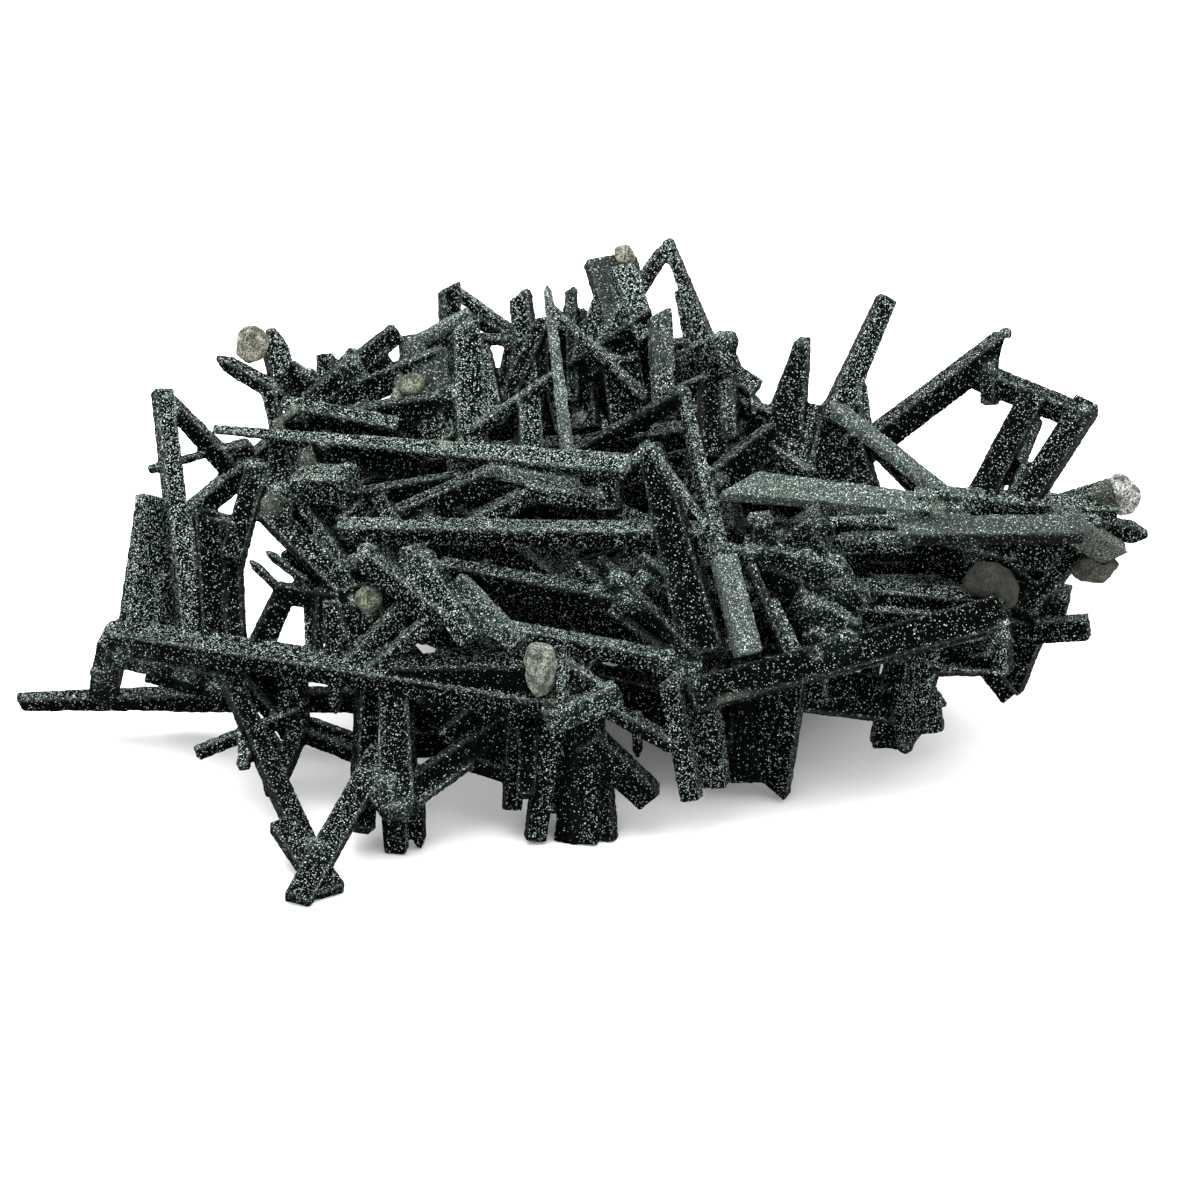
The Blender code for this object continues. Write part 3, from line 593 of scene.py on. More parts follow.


# Listed slivers on and between the crystals: ends, section, turn, tone, layer and finish.
# Slivers with a tone on the first layer are painted: below zero they are dark crystals put in
# recesses as painted shade, above zero painted light on lit sides and edges.
SLIVERS = [hand_laid(*row) for row in (
    ((258, 468, 10.5), (232, 560, 14), 2.9, 2.0, 15, -0.6),
    ((172, 590, 9), (174, 650, 11), 1.6, 1.0, 10, -0.5),
    ((148, 668, 9), (238, 692, 9.5), 3.4, 2.2, 10, -0.6),
    ((236, 672, 9), (304, 690, 9), 3.2, 2.0, 10, -0.7),
    ((410, 744, 20), (454, 742, 20), 3.4, 1.8, 10, -0.8),
    ((530, 714, 25), (528, 796, 28), 2.4, 2.6, 10, -0.8),
    ((558, 728, 20), (557, 812, 25), 1.6, 1.0, 10, -0.8),
    ((726, 698, 18), (724, 746, 20), 2.2, 1.2, 10, -0.8),
    ((286, 370, 8), (320, 396, 9), 3.2, 1.6, 10),
    ((330, 400, 8), (390, 358, 7.5), 2.8, 1.8, 10, -0.5),
    ((436, 350, 7), (438, 404, 9.5), 3.2, 1.6, 10, 0.7, "bare"),
    ((384, 366), (402, 382), 1.2, 0.7, 10, 0.7, "pale"),
    ((393, 397), (402, 388), 0.9, 0.8, 10, 1.0, "pale"),
    ((422, 354, 5.5), (452, 338, 5.5), 2.4, 1.4, 10, -0.3),
    ((276, 424), (297, 408), 0.7, 0.8, 10, 0.4, "pale"),
    ((405, 438, 10), (424, 402, 9), 2.4, 1.6, 10, 0.5, "tan"),
    ((350, 426, 9), (392, 434, 10), 2.0, 1.6, 10),
    ((546, 304, 12.6), (646, 394, 10.8), 0.8, 0.8, 25, 0.9),
    ((604, 359, 11.8), (634, 359, 11.0), 0.6, 0.6, 10, 1.0),
    ((650, 446, 23.0), (714, 536, 26.4), 1.0, 0.9, 15, 0.9),
    ((648, 445, 22.6), (622, 474, 22.4), 0.8, 0.9, 15, 0.6),
    ((680, 361), (722, 333), 0.8, 0.8, 10, 0.8),
    ((556, 316, 4), (572, 362, 6), 3.6, 1.6, 10, -1.0),
    ((640, 334, 5), (654, 410, 8), 3.6, 1.8, 10, -1.0),
    ((726, 380), (730, 440), 1.4, 1.0, 15, 0.4),
    ((680, 386), (704, 376), 0.6, 0.6, 15, 0.6),
    ((780, 528), (812, 508), 0.5, 0.5, 15, 0.9),
    ((830, 521), (905, 517), 0.9, 0.8, 15, 0.8),
    ((845, 538), (905, 536), 0.8, 0.8, 15, 0.6),
    ((1004, 622), (1002, 672), 0.9, 0.8, 10, 0.7),
    ((937, 655), (925, 702), 0.6, 0.6, 10, 0.9),
    ((935, 668), (1006, 672), 0.5, 0.5, 10, 0.5),
    ((816, 655), (822, 702), 1.6, 0.9, 10, 0.5),
    # a thin pale line along the lower edge of a bar: a painted highlight
    ((717, 700), (985, 637), 0.25, 0.4, 10, 0.25, "pale"),
    ((292, 548, 13), (324, 606, 16), 3.2, 1.8, 10),
    ((268, 482, 10), (262, 520, 12), 1.8, 1.6, 15),
    ((312, 498, 12), (348, 526, 14), 3.2, 2.0, 10),
    ((212, 524, 9), (234, 546, 10), 2.4, 1.4, 10),
    ((384, 430, 9.5), (428, 433, 11), 2.4, 1.6, 15),
    ((282, 423, 9), (306, 427, 10), 1.8, 1.4, 15),
    ((224, 453, 7), (252, 448, 8), 1.5, 1.4, 15),
    ((247, 722, 19.5), (244, 768, 22.5), 1.5, 1.4, 20),
    ((754, 416, 10.5), (750, 384, 9), 0.6, 0.6, 20, 0.0, "dust", End.POINT),
    ((936, 694, 12), (944, 706, 11), 1.0, 1.0, 20),
    ((640, 556, 26), (684, 590, 26), 1.2, 1.2, 20),
    ((655, 580, 25), (690, 566, 25), 1.3, 1.2, 15),
    ((700, 548, 24), (752, 556, 25), 1.7, 1.5, 20),
    ((574, 566, 25), (640, 612, 26.5), 1.4, 1.4, 15, 0.0, "dust", End.CHISEL),
    ((462, 312, 3.5), (506, 337, 4), 1.5, 1.2, 15, -0.5),
    ((1054, 538, 15), (1086, 560, 13), 1.7, 1.6, 10, -0.4),
    ((512, 338, 6), (502, 390, 8), 1.4, 1.2, 15, -0.5),
    ((543, 328, 6), (545, 386, 8), 1.3, 1.0, 15, -0.6),
    ((573, 290, 5), (562, 330, 6), 1.0, 1.0, 15, -0.3),
    ((310, 602, 16), (312, 648, 19), 1.5, 1.2, 15, -0.6),
    ((308, 722, 16.5), (354, 738, 19), 1.4, 1.2, 15, -0.6),
    ((266, 728, 18), (284, 758, 20), 1.4, 1.0, 15, -0.6),
    ((622, 266, 5.5), (648, 340, 9), 3.0, 1.6, -20, 0.4),
    ((681, 290, 5), (691, 344, 7), 1.6, 1.2, 16, 0.3),
    ((667, 309, 10.6), (671, 372, 12.6), 0.9, 1.6, -20, 0.4),
    ((862, 384, 9), (868, 430, 11), 1.1, 1.2, -14),
    ((1040, 420, 9), (1022, 464, 12), 0.9, 1.2, 14, -0.6),
    ((1028, 566, 10), (1058, 590, 10), 1.8, 1.2, 10, -0.8),
    ((1002, 606, 12), (1036, 620, 12), 1.6, 1.2, 10, -0.8),
    ((988, 670, 14), (1010, 698, 14), 2.2, 1.6, 10, -0.6),
)]

# Crust lumps: place on the sheet, half sizes across, up and out of it, and layer.
LUMPS = [Lump(row[0], row[1], row[2:5], *row[5:]) for row in (
    (100, 672, 1.3, 1.5, 1.2), (122, 656, 1.3, 1.0, 1.0), (147, 666, 1.4, 1.0, 1.0),
    (186, 674, 1.5, 0.9, 1.0), (218, 686, 1.4, 0.9, 1.0), (803, 343, 0.9, 0.9, 0.8),
    (450, 393, 1.5, 1.1, 1.0), (757, 520, 1.2, 1.0, 1.0), (350, 366, 1.3, 1.2, 0.9),
    (446, 444, 0.5, 0.45, 0.4, "pale"), (581, 417, 0.5, 0.4, 0.4, "pale"),
    (268, 505, 0.9, 1.2, 0.8, "tan"), (282, 490, 1.6, 1.0, 0.8), (325, 446, 0.8, 0.6, 0.6),
    (972, 556, 1.2, 1.4, 0.9), (938, 508, 0.9, 0.4, 0.5, "pale"), (256, 466, 1.5, 0.9, 0.9),
    (348, 474, 1.3, 1.4, 0.9), (306, 459, 0.7, 0.7, 0.6, "tan"), (338, 534, 1.1, 1.2, 0.9),
    (357, 560, 1.2, 0.9, 0.8), (368, 550, 1.4, 0.8, 0.8), (410, 552, 1.5, 0.8, 0.8),
    (428, 557, 1.3, 0.9, 0.8), (356, 603, 0.8, 1.1, 0.8), (370, 616, 0.9, 1.1, 0.8),
    (381, 612, 0.6, 0.8, 0.6), (309, 374, 1.0, 0.7, 0.8), (427, 517, 0.9, 0.8, 0.7),
    (742, 380, 0.6, 0.6, 0.6), (776, 538, 0.9, 1.0, 0.8), (752, 551, 1.6, 0.8, 0.9),
    (806, 560, 1.4, 1.5, 0.9), (836, 566, 1.5, 1.5, 1.0), (840, 588, 1.3, 1.5, 1.0),
    (812, 606, 1.5, 1.3, 0.9), (822, 636, 2.0, 1.7, 1.0), (846, 640, 1.4, 1.3, 0.9),
    (1062, 596, 1.0, 1.4, 0.8), (936, 496, 1.8, 1.0, 1.0), (958, 508, 1.6, 0.9, 0.9),
    (924, 510, 1.1, 0.9, 0.8), (640, 568, 1.6, 1.0, 0.9), (620, 580, 1.6, 1.1, 1.0),
    (628, 600, 1.5, 1.5, 0.9), (665, 588, 1.2, 1.3, 1.0), (600, 592, 1.1, 1.0, 0.8),
    (726, 550, 1.9, 0.9, 0.9), (276, 500, 1.6, 1.5, 1.0), (668, 660, 1.6, 1.5, 1.0),
    (686, 676, 1.6, 1.5, 1.0), (470, 612, 1.6, 1.5, 0.9), (486, 628, 1.6, 1.4, 0.9),
    (436, 568, 1.2, 1.0, 0.8), (1092, 524, 1.4, 1.2, 0.9), (1084, 412, 1.2, 1.0, 0.9),
    (990, 372, 1.0, 1.2, 0.8), (388, 786, 1.3, 1.5, 0.9), (400, 808, 1.5, 1.0, 0.9),
    (316, 846, 1.2, 1.2, 0.9), (112, 628, 0.9, 0.9, 0.9), (812, 524, 1.2, 1.0, 0.9),
    (466, 328, 1.0, 0.9, 0.8), (905, 746, 1.0, 0.9, 0.8), (1000, 636, 1.3, 1.0, 0.9),
    (729, 341, 1.2, 1.4, 0.9), (1006, 333, 0.8, 0.7, 0.6),
)]

# The eight directions in which a gap is sounded.
AROUND = [(1, 0), (1, 1), (0, 1), (-1, 1), (-1, 0), (-1, -1), (0, -1), (1, -1)]

# The rule-made slivers of the inside keep within this outline of the mass, on the sheet.
MASS_OUTLINE = [
    (345, 450), (470, 445), (560, 372), (735, 372), (775, 440), (860, 470), (885, 500),
    (1000, 520), (1030, 560), (1000, 640), (870, 690), (800, 700), (690, 700), (600, 700),
    (500, 725), (400, 680), (345, 640),
]


class SliverMaker:
    """Models one small crystal for each kind of end, and copies them to their places."""

    tip: float = 0.18                       # share of the length that a point takes up
    tip_width: float = 0.3                  # share of the section that it keeps
    chisel_turn: float = math.radians(8.0)

    def __init__(self) -> None:
        """Model the three kinds once."""
        self.models = {finish: self.model(finish) for finish in End}

    def model(self, finish: End) -> bpy.types.Object:
        """Model one crystal of unit length and section, from z = 0 to z = 1.

        Args:
            finish: How its far end is finished.

        Returns:
            The model, which is only copied.
        """
        deselect_all()
        bpy.ops.mesh.primitive_cube_add(size=1.0, location=(0.0, 0.0, 0.5))
        model = bpy.context.object
        model.name = "sliver_" + finish.value
        bpy.ops.object.transform_apply(location=True, rotation=False, scale=True)
        top = next(face.index for face in model.data.polygons if face.normal.z > 0.9)
        bpy.ops.object.mode_set(mode="EDIT")
        bpy.ops.mesh.select_mode(type="FACE")
        bpy.ops.mesh.select_all(action="DESELECT")
        bpy.ops.object.mode_set(mode="OBJECT")
        model.data.polygons[top].select = True
        bpy.ops.object.mode_set(mode="EDIT")
        if finish is End.POINT:
            bpy.ops.transform.translate(value=(0.0, 0.0, -self.tip))
            move = {"value": (0.0, 0.0, self.tip)}
            bpy.ops.mesh.extrude_region_move(TRANSFORM_OT_translate=move)
            bpy.ops.transform.resize(value=(self.tip_width, self.tip_width, 1.0))
        if finish is End.CHISEL:
            turn = {"value": self.chisel_turn, "orient_axis": "Y"}
            bpy.ops.transform.rotate(**turn, center_override=(0.0, 0.0, 1.0))
        bpy.ops.object.mode_set(mode="OBJECT")
        model.hide_render = True
        return model

    def copy(self, sliver: Sliver) -> bpy.types.Object:
        """Copy a model to a sliver's place, with a mesh of its own.

        Args:
            sliver: The small crystal to make.

        Returns:
            The new object, at the origin, with its place in its mesh and its middle noted.
        """
        start, axes, length = sliver.frame()
        size = Matrix.Diagonal((sliver.width * MM, sliver.thick * MM, length, 1.0))
        mesh = self.models[sliver.finish].data.copy()
        mesh.transform(Matrix.Translation(start) @ axes.to_4x4() @ size)
        piece = new_piece("sliver", mesh)
        middle = (LAYOUT.place(*sliver.start) + LAYOUT.place(*sliver.end)) / 2.0
        piece["middle"] = middle.x
        return piece

    def clear(self) -> None:
        """Remove the models."""
        for model in self.models.values():
            drop(model)


# ---- cluster ----


@dataclass(frozen=True)
class Patch:
    """A finish of its own on one crystal: more or less of one layer."""

    layer: str
    amount: float
    crystal: Crystal


# Finishes of single crystals: layer, amount, and the crystal as one row of numbers.  The rim rows
# are painted highlights on their crystals; crust, bare and tan are real colours.
PATCHES = [
    ("crust", 0.9, (548, 722, 34, 618, 692, 32, 3.0, 2.8, 20, 0.9)),
    ("bare", 0.4, (718, 484, 22, 928, 505, 19.5, 1.8, 4.1, 52, 0.7)),
    ("bare", 0.75, (896, 531, 21, 1082, 529, 18.5, 2.1, 3.5, 42)),
    ("bare", 0.7, (410, 338, 4.5, 413, 380, 7.5, 2.6, 2.4, 15)),
    ("bare", 0.8, (600, 259, 4, 619, 325, 6.5, 4.0, 2.4, -18, 0.9)),
    ("bare", 0.6, (657, 309, 11, 662, 370, 13, 2.3, 2.2, -20, 1.1)),
    ("bare", 0.3, (723, 557, 26.3, 748, 654, 28.5, 3.0, 2.4, -25, 1.05)),
    ("bare", 0.5, (830, 404, 14, 948, 498, 18, 1.5, 2.2, 40)),
    ("tan", 0.9, (1066, 525, 16, 1120, 558, 14, 3.2, 3.2, 18)),
    ("tan", 0.7, (1096, 496, 12, 1116, 492, 12.5, 3.0, 3.0, 30)),
    ("rim", 0.8, (547, 285, 11, 568, 456, 16, 0.9, 1.1, -35, 1.45)),
    ("rim", 0.6, (830, 404, 14, 948, 498, 18, 1.5, 2.2, 40)),
    ("rim", 0.6, (490, 470, 19, 580, 481, 19, 1.8, 2.0, 30)),
    ("rim", 0.55, (412, 344, 5.5, 470, 313, 7.5, 1.5, 1.8, 15)),
    ("rim", 0.8, (718, 484, 22, 928, 505, 19.5, 1.8, 4.1, 52, 0.7)),
    ("rim", 0.8, (723, 557, 26.3, 748, 654, 28.5, 3.0, 2.4, -25, 1.05)),
    ("rim", 0.15, (458, 580, 28, 520, 646, 32, 2.2, 2.4, 18, 1.1)),
]

# Crystals that carry less or more dust and light than the turn of their faces gives them, by how
# much, each as one row of numbers: painted shade below zero, painted light above it.  The others
# vary by facet.
DUST_AND_LIGHT_BY_CRYSTAL = {
    -1.0: [
        (1088, 404, 8, 1022, 506, 14, 3.3, 3.0, 14), (302, 722, 16.5, 273, 792, 25, 2.3, 2.2, 20),
        (217, 652, 14, 314, 862, 32.5, 2.4, 2.4, -18, 1.15),
        (711, 350, 6, 713, 462, 14, 3.2, 2.4, -12, 1.1),
    ],
    -0.9: [
        (276, 592, 17, 356, 604, 20, 2.4, 2.6, 15), (168, 699, 0, 400, 700, 4, 2.8, 2.4, 20),
        (616, 334, 6.5, 630, 430, 11.5, 5.0, 2.0, -10), (760, 572, 23, 818, 596, 24, 2.8, 2.8, 15),
        (452, 754, 26.5, 522, 779, 24, 2.3, 2.4, 20, 0.8),
        (960, 546, 13, 1044, 606, 10, 4.4, 2.6, 12),
        (1034, 398, 7, 977, 506, 14.5, 3.3, 3.0, 14, 1.05),
        (688, 393, 16, 572, 458, 15, 2.1, 2.2, -15),
        (392, 668, 26, 545, 664, 32, 1.5, 3.0, 30, 2.4),
        (414, 783, 30, 507, 723, 25.5, 2.6, 2.4, 15),
    ],
    -0.7: [
        (655, 320, 8, 578, 372, 9, 3.6, 2.0, -12),
        (204, 512, 9.5, 214, 648, 15, 3.2, 1.8, -25, 1.1),
        (318, 446, 12, 424, 470, 14, 4.2, 2.0, 0), (752, 668, 20, 742, 779, 15, 4.6, 3.0, -18),
        (598, 694, 16, 696, 716, 18, 5.0, 2.4, 0), (232, 545, 10, 238, 656, 15.5, 2.2, 2.0, 15),
        (284, 724, 15.5, 384, 763, 22.5, 2.0, 2.6, 25),
        (690, 697, 30, 1004, 612, 22, 4.2, 2.4, -14), (259, 464, 7, 232, 570, 10.5, 2.2, 2.4, 25),
        (804, 336, 4, 781, 446, 9, 1.9, 1.0, 14, 3.1), (284, 440, 10, 281, 527, 14, 3.4, 2.6, 15),
        (368, 684, 22, 362, 830, 27.5, 2.6, 2.6, -20, 1.1),
        (930, 661, 16, 1006, 661, 15, 3.4, 2.8, -12), (583, 700, 29, 568, 840, 23.6, 3.0, 2.6, 15),
        (425, 690, 27, 506, 752, 24, 3.4, 2.6, 15), (598, 560, 27, 692, 654, 30, 1.7, 2.0, 20),
        (846, 440, 8, 862, 494, 14, 4.6, 2.6, 15), (346, 497, 18, 462, 477, 19, 1.6, 2.0, 20, 0.9),
        (440, 567, 25, 616, 600, 26.5, 2.0, 2.6, 28, 1.1),
    ],
    -0.5: [
        (381, 752, 27.5, 298, 901, 39.2, 3.1, 2.4, 10, 1.1),
        (15, 702, 0, 240, 697, 2, 1.7, 2.2, 28, 1.45),
        (1008, 341, 5.5, 870, 445, 11, 3.2, 3.2, -22), (826, 590, 23, 1000, 606, 18, 2.8, 3.2, 30),
        (800, 408, 6, 780, 488, 14, 5.6, 2.6, 12),
        (650, 446, 21.5, 706, 656, 28, 3.0, 2.6, 12, 1.8),
        (546, 315, 6.5, 503, 412, 10, 1.8, 1.8, 15, 1.15),
        (396, 694, 24.5, 401, 812, 32.5, 3.8, 2.8, 15, 1.15),
        (612, 456, 19, 610, 512, 21, 2.8, 2.6, 15),
        (256, 656, 17, 288, 586, 17, 3.2, 2.4, 12, 0.8),
        (317, 660, 20, 320, 590, 19, 1.2, 1.6, 15), (300, 446, 12, 316, 500, 16, 3.4, 2.6, 15),
        (112, 656, 10, 222, 677, 15, 1.9, 2.6, 30),
        (282, 822, 30.5, 333, 893, 37.3, 3.4, 2.0, -25, 1.1),
        (230, 668, 16.5, 292, 737, 17, 1.6, 1.8, 20), (302, 428, 9, 462, 403, 12, 3.6, 2.6, 15),
        (796, 688, 15, 890, 700, 10, 5.6, 2.6, -10), (764, 560, 22, 762, 518, 27, 2.6, 2.4, 15),
        (588, 738, 29, 650, 797, 25, 3.8, 3.0, 22, 0.95),
        (731, 380, 9, 732, 440, 13, 1.6, 1.8, 15), (268, 512, 13, 350, 594, 20, 2.9, 2.4, -20),
        (400, 517, 22, 494, 476, 21, 2.8, 2.4, 24),
    ],
    -0.3: [
        (112, 634, 12, 566, 704, 33, 2.5, 4.2, 32, 1.1),
        (836, 520, 20.5, 938, 528, 20, 1.8, 3.2, 34), (846, 612, 23, 992, 622, 18, 2.6, 3.2, 26),
        (842, 410, 8, 820, 492, 14, 5.4, 2.6, -14), (396, 814, 32, 470, 760, 27, 1.7, 2.0, -15),
        (197, 753, 21, 300, 712, 18, 1.6, 1.7, 20), (588, 697, 30.5, 672, 744, 28, 1.8, 2.4, 25),
        (742, 548, 24, 828, 568, 24, 2.8, 2.8, 26), (794, 600, 24, 852, 636, 25, 4.4, 3.0, 22),
        (404, 372, 6.5, 446, 446, 13.5, 3.6, 2.6, 12),
        (280, 402, 12, 398, 425, 13.5, 0.9, 2.2, 40, 1.1),
        (326, 357, 6, 327, 404, 10, 2.2, 2.0, 15), (520, 291, 3, 534, 420, 10, 2.6, 2.2, 18, 1.1),
        (184, 515, 9.5, 236, 523, 9, 1.3, 2.4, 25), (216, 357, 6, 304, 408, 7, 1.5, 1.9, 28, 1.4),
    ],
    0.0: [
        (213, 429, 11, 628, 467, 22, 0.55, 1.22, 45, 2.8),
        (337, 530, 23, 706, 536, 23, 2.4, 2.9, 28, 1.1),
        (896, 531, 21, 1082, 529, 18.5, 2.1, 3.5, 42),
        (488, 627, 31, 700, 668, 28, 2.0, 2.6, 24, 1.2),
        (463, 321, 8, 470, 452, 15, 3.4, 3.0, -18, 1.2),
        (292, 664, 19, 296, 738, 17, 3.4, 2.4, 20), (299, 484, 15, 352, 485, 19, 3.7, 4.4, 28),
        (887, 298, 4, 831, 424, 11, 2.4, 1.8, -14, 1.45),
    ],
    0.3: [
        (698, 672, 27, 712, 785, 22, 4.2, 2.8, 20), (668, 672, 29.5, 692, 799, 26.4, 2.5, 2.4, 20),
        (412, 598, 26, 352, 664, 23, 2.2, 2.2, -15), (434, 617, 28, 374, 670, 25, 1.9, 2.2, -15),
        (526, 490, 20, 616, 501, 20, 2.2, 2.4, 25),
        (926, 497, 16, 1116, 511, 12, 2.0, 3.0, 30, 1.1),
        (916, 503, 19, 984, 503, 16.5, 3.0, 3.4, 20),
        (727, 351, 12, 676, 372, 4, 4.8, 3.0, 0, 0.9), (472, 524, 21, 524, 497, 19, 2.2, 2.4, 20),
        (161, 390, 6, 192, 645, 14.5, 2.4, 2.0, -22, 1.2),
        (670, 241, 4, 597, 352, 8, 1.7, 1.6, -15, 1.3),
        (668, 239, 4, 710, 352, 7.5, 1.2, 1.3, 16, 2.0),
        (458, 580, 28, 520, 646, 32, 2.2, 2.4, 18, 1.1),
    ],
    0.5: [
        (153, 497, 8, 145, 640, 12.5, 4.6, 1.5, -40, 1.65),
        (560, 645, 34, 564, 712, 35, 1.3, 1.6, 20), (454, 290, 3, 524, 340, 4, 1.5, 1.3, 15),
        (122, 632, 12, 174, 571, 10.5, 2.4, 1.0, 10, 0.7),
        (448, 472, 15, 508, 460, 15, 2.6, 2.4, 28),
        (657, 309, 11, 665, 420, 15, 2.3, 2.2, -20, 1.1),
        (682, 388, 16, 720, 560, 25, 1.2, 1.3, -38, 1.8),
        (551, 309, 12, 608, 361, 10, 0.9, 1.6, 30),
        (718, 484, 22, 928, 505, 19.5, 1.8, 4.1, 52, 0.7),
    ],
    0.8: [
        (490, 470, 19, 580, 481, 19, 1.8, 2.0, 30), (830, 404, 14, 948, 498, 18, 1.5, 2.2, 40),
        (412, 344, 5.5, 470, 313, 7.5, 1.5, 1.8, 15),
        (723, 557, 26.3, 748, 654, 28.5, 3.0, 2.4, -25, 1.05),
    ],
    1.0: [
        (547, 285, 11, 568, 456, 16, 0.9, 1.1, -35, 1.45),
    ],
}


@dataclass
class CrystalCluster:
    """The grown-together crystals, in slabs that overlap out of sight inside the crystals."""

    # the slabs, in millimetres along x, and the skin over them
    cuts: tuple = (-36.0, -13.0, 8.0, 30.0)
    margin: float = 5.0
    overlap: float = 0.35
    voxel: float = 0.31 * MM
    smooth_angle: float = math.radians(38.0)
    most_triangles: int = 185_000

    # seeded slivers inside the mass: where they start, in millimetres, how many places along each
    # are tested, and the room that they leave to the front, the ground and the sloping back
    seed: int = 23
    inner_count: int = 110
    inner_box: tuple = ((-30.0, 50.0), (-8.0, 32.0), (2.5, 44.0))
    samples: int = 7
    under_front: float = 5.0 * MM
    over_ground: float = 2.0 * MM
    off_back: float = 6.0 * MM
    back_slope: float = 0.35
    slope_from: float = 10.0 * MM

    # slivers behind gaps: layout steps between soundings and out to the rim of a gap, then how
    # far out of the sheet its floor and its rim have to be, how many rims, and the drop from them
    gap_step: int = 7
    gap_reach: int = 22
    gap_floor: float = -60.0
    rim_floor: float = -12.0
    rims_wanted: int = 3
    backing_drop: float = 2.2

    # the painted light and shade that the druse reads from the turn of a face, the painted
    # highlight along its edges and the crust in its inner corners, and how flat two faces, how
    # square to x a cut and how close two facets have to be to count as one
    dust_from: float = 0.52
    dust_over: float = 0.40
    tone_level: float = 0.65
    rim_width: float = 0.36 * MM
    fillet_reach: float = 0.8 * MM
    edge_step: float = 0.18 * MM
    sharp_under: float = 0.85
    cut_over: float = 0.9999
    normal_steps: float = 40.0
    depth_step: float = 0.15 * MM

    # lumps: how deep they sit and how far they colour, as shares of their sizes, where the colour
    # starts to fade, and the millimetres behind the sheet at which it ends
    lump_sunk: float = 0.3
    lump_reach: float = 1.5
    lump_fade: float = 1.3
    lump_depth: float = 5.0

    # how finely the roughening is graded, and how much of it bare quartz loses
    grades: float = 10.0
    bare_calm: float = 0.75

    def build(self, finish: bpy.types.Material) -> list[bpy.types.Object]:
        """Build and dress every slab.

        Args:
            finish: The druse.

        Returns:
            The finished pieces.
        """
        self.solid = merged_copy("crystal_cluster", "cluster_solid")
        self.shape = search_tree(self.solid)
        self.maker = SliverMaker()
        self.laid = [self.seated(sliver) for sliver in SLIVERS]
        pieces = [self.maker.copy(sliver) for sliver in (*self.laid, *self.inner_slivers())]
        pieces += self.lumps()
        pieces += [self.maker.copy(sliver) for sliver in self.backing_slivers(pieces)]
        self.maker.clear()
        extras = [(piece["middle"] / MM, piece) for piece in self.rooted(pieces)]
        low = CAD_BOX[0].x / MM - self.margin
        high = CAD_BOX[1].x / MM + self.margin
        edges = [low, *self.cuts, high]
        pieces = []
        for number, (left, right) in enumerate(zip(edges, edges[1:])):
            source = self.slab(left, right, f"slab_{number}")
            inside = [piece for middle, piece in extras if left <= middle < right]
            source = join([source, *inside], f"source_{number}")
            piece = self.grow_crust(source, f"crystals_{number}")
            self.measure(piece, source)
            self.thin(piece)
            drop(source)
            piece.data.materials.clear()
            piece.data.materials.append(finish)
            pick(piece)
            bpy.ops.object.shade_smooth_by_angle(angle=self.smooth_angle)
            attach(piece, "root")
            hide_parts("crystal_cluster")
            log.info("%s: %d faces", piece.name, len(piece.data.polygons))
            pieces.append(piece)
        drop(self.solid)
        return pieces

    def slab(self, left: float, right: float, name: str) -> bpy.types.Object:
        """Cut one slab from the solid.

        Args:
            left: Left side of the slab, in millimetres.
            right: Right side of the slab, in millimetres.
            name: Name of the slab.

        Returns:
            The closed slab.
        """
        slab = new_piece(name, self.solid.data.copy())
        middle = (left + right) / 2.0 * MM
        width = (right - left + 2.0 * self.overlap) * MM
        deselect_all()
        bpy.ops.mesh.primitive_cube_add(size=1.0, location=(middle, 0.0, 30.0 * MM))
        box = bpy.context.object
        box.scale = (width, 0.2, 0.2)
        apply_modifier(slab, "BOOLEAN", operation="INTERSECT", solver="EXACT", object=box)
        drop(box)
        return slab

    def surface_at(self, across: float, down: float, more: list[BVHTree] = ()) -> Vector:
        """Nearest place of the crystals to the viewer at a place on the sheet.

        Args:
            across: Steps from the left.
            down: Steps from the top.
            more: Search trees of pieces that stand on the solid.

        Returns:
            The place, in metres, or one well inside the sheet where nothing is.
        """
        start = LAYOUT.place(across, down, SIGHT)
        hits = [shape.ray_cast(start, -LAYOUT.out) for shape in (self.shape, *more)]
        hits = [hit for hit in hits if hit[0]]
        return min(hits, key=lambda hit: hit[3])[0] if hits else LAYOUT.place(across, down, BEHIND)

    def rooted(self, pieces: list[bpy.types.Object]) -> list[bpy.types.Object]:
        """Keep the pieces that touch the solid or one that does, and remove the others."""
        trees = {piece: search_tree(piece) for piece in pieces}
        kept = [piece for piece in pieces if trees[piece].overlap(self.shape)]
        for carrier in kept:
            loose = [piece for piece in pieces if piece not in kept]
            kept += [piece for piece in loose if trees[piece].overlap(trees[carrier])]
        for piece in [piece for piece in pieces if piece not in kept]:
            drop(piece)
        return kept

    def seated(self, sliver: Sliver) -> Sliver:
        """Give a sliver without depths the depths of the crystals under its ends."""
        if len(sliver.start) == 3:
            return sliver
        ends = []
        for across, down in (sliver.start, sliver.end):
            surface = LAYOUT.sheet_of(np.array([self.surface_at(across, down)]))[0, 2]
            ends.append((across, down, surface - 0.1 * sliver.thick))
        return replace(sliver, start=ends[0], end=ends[1])

    def lumps(self) -> list[bpy.types.Object]:
        """Make the crust lumps, each on the crystal that carries it."""
        rng = random.Random(self.seed + 1)
        carriers = [self.tree_of(sliver) for sliver in self.laid]
        made = []
        for number, lump in enumerate(LUMPS):
            half = [value * MM for value in lump.half]
            surface = self.surface_at(lump.across, lump.down, carriers)
            seat = surface - LAYOUT.out * (half[2] * self.lump_sunk)
            deselect_all()
            bpy.ops.mesh.primitive_ico_sphere_add(subdivisions=2, radius=1.0)
            piece = bpy.context.object
            piece.name = f"lump_{number:02d}"
            for vertex in piece.data.vertices:
                vertex.co *= 1.0 + rng.uniform(-0.16, 0.16)
            size = Matrix.Diagonal((*half, 1.0))
            piece.data.transform(Matrix.Translation(seat) @ LAYOUT.axes @ size)
            piece["middle"] = seat.x
            made.append(piece)
        return made

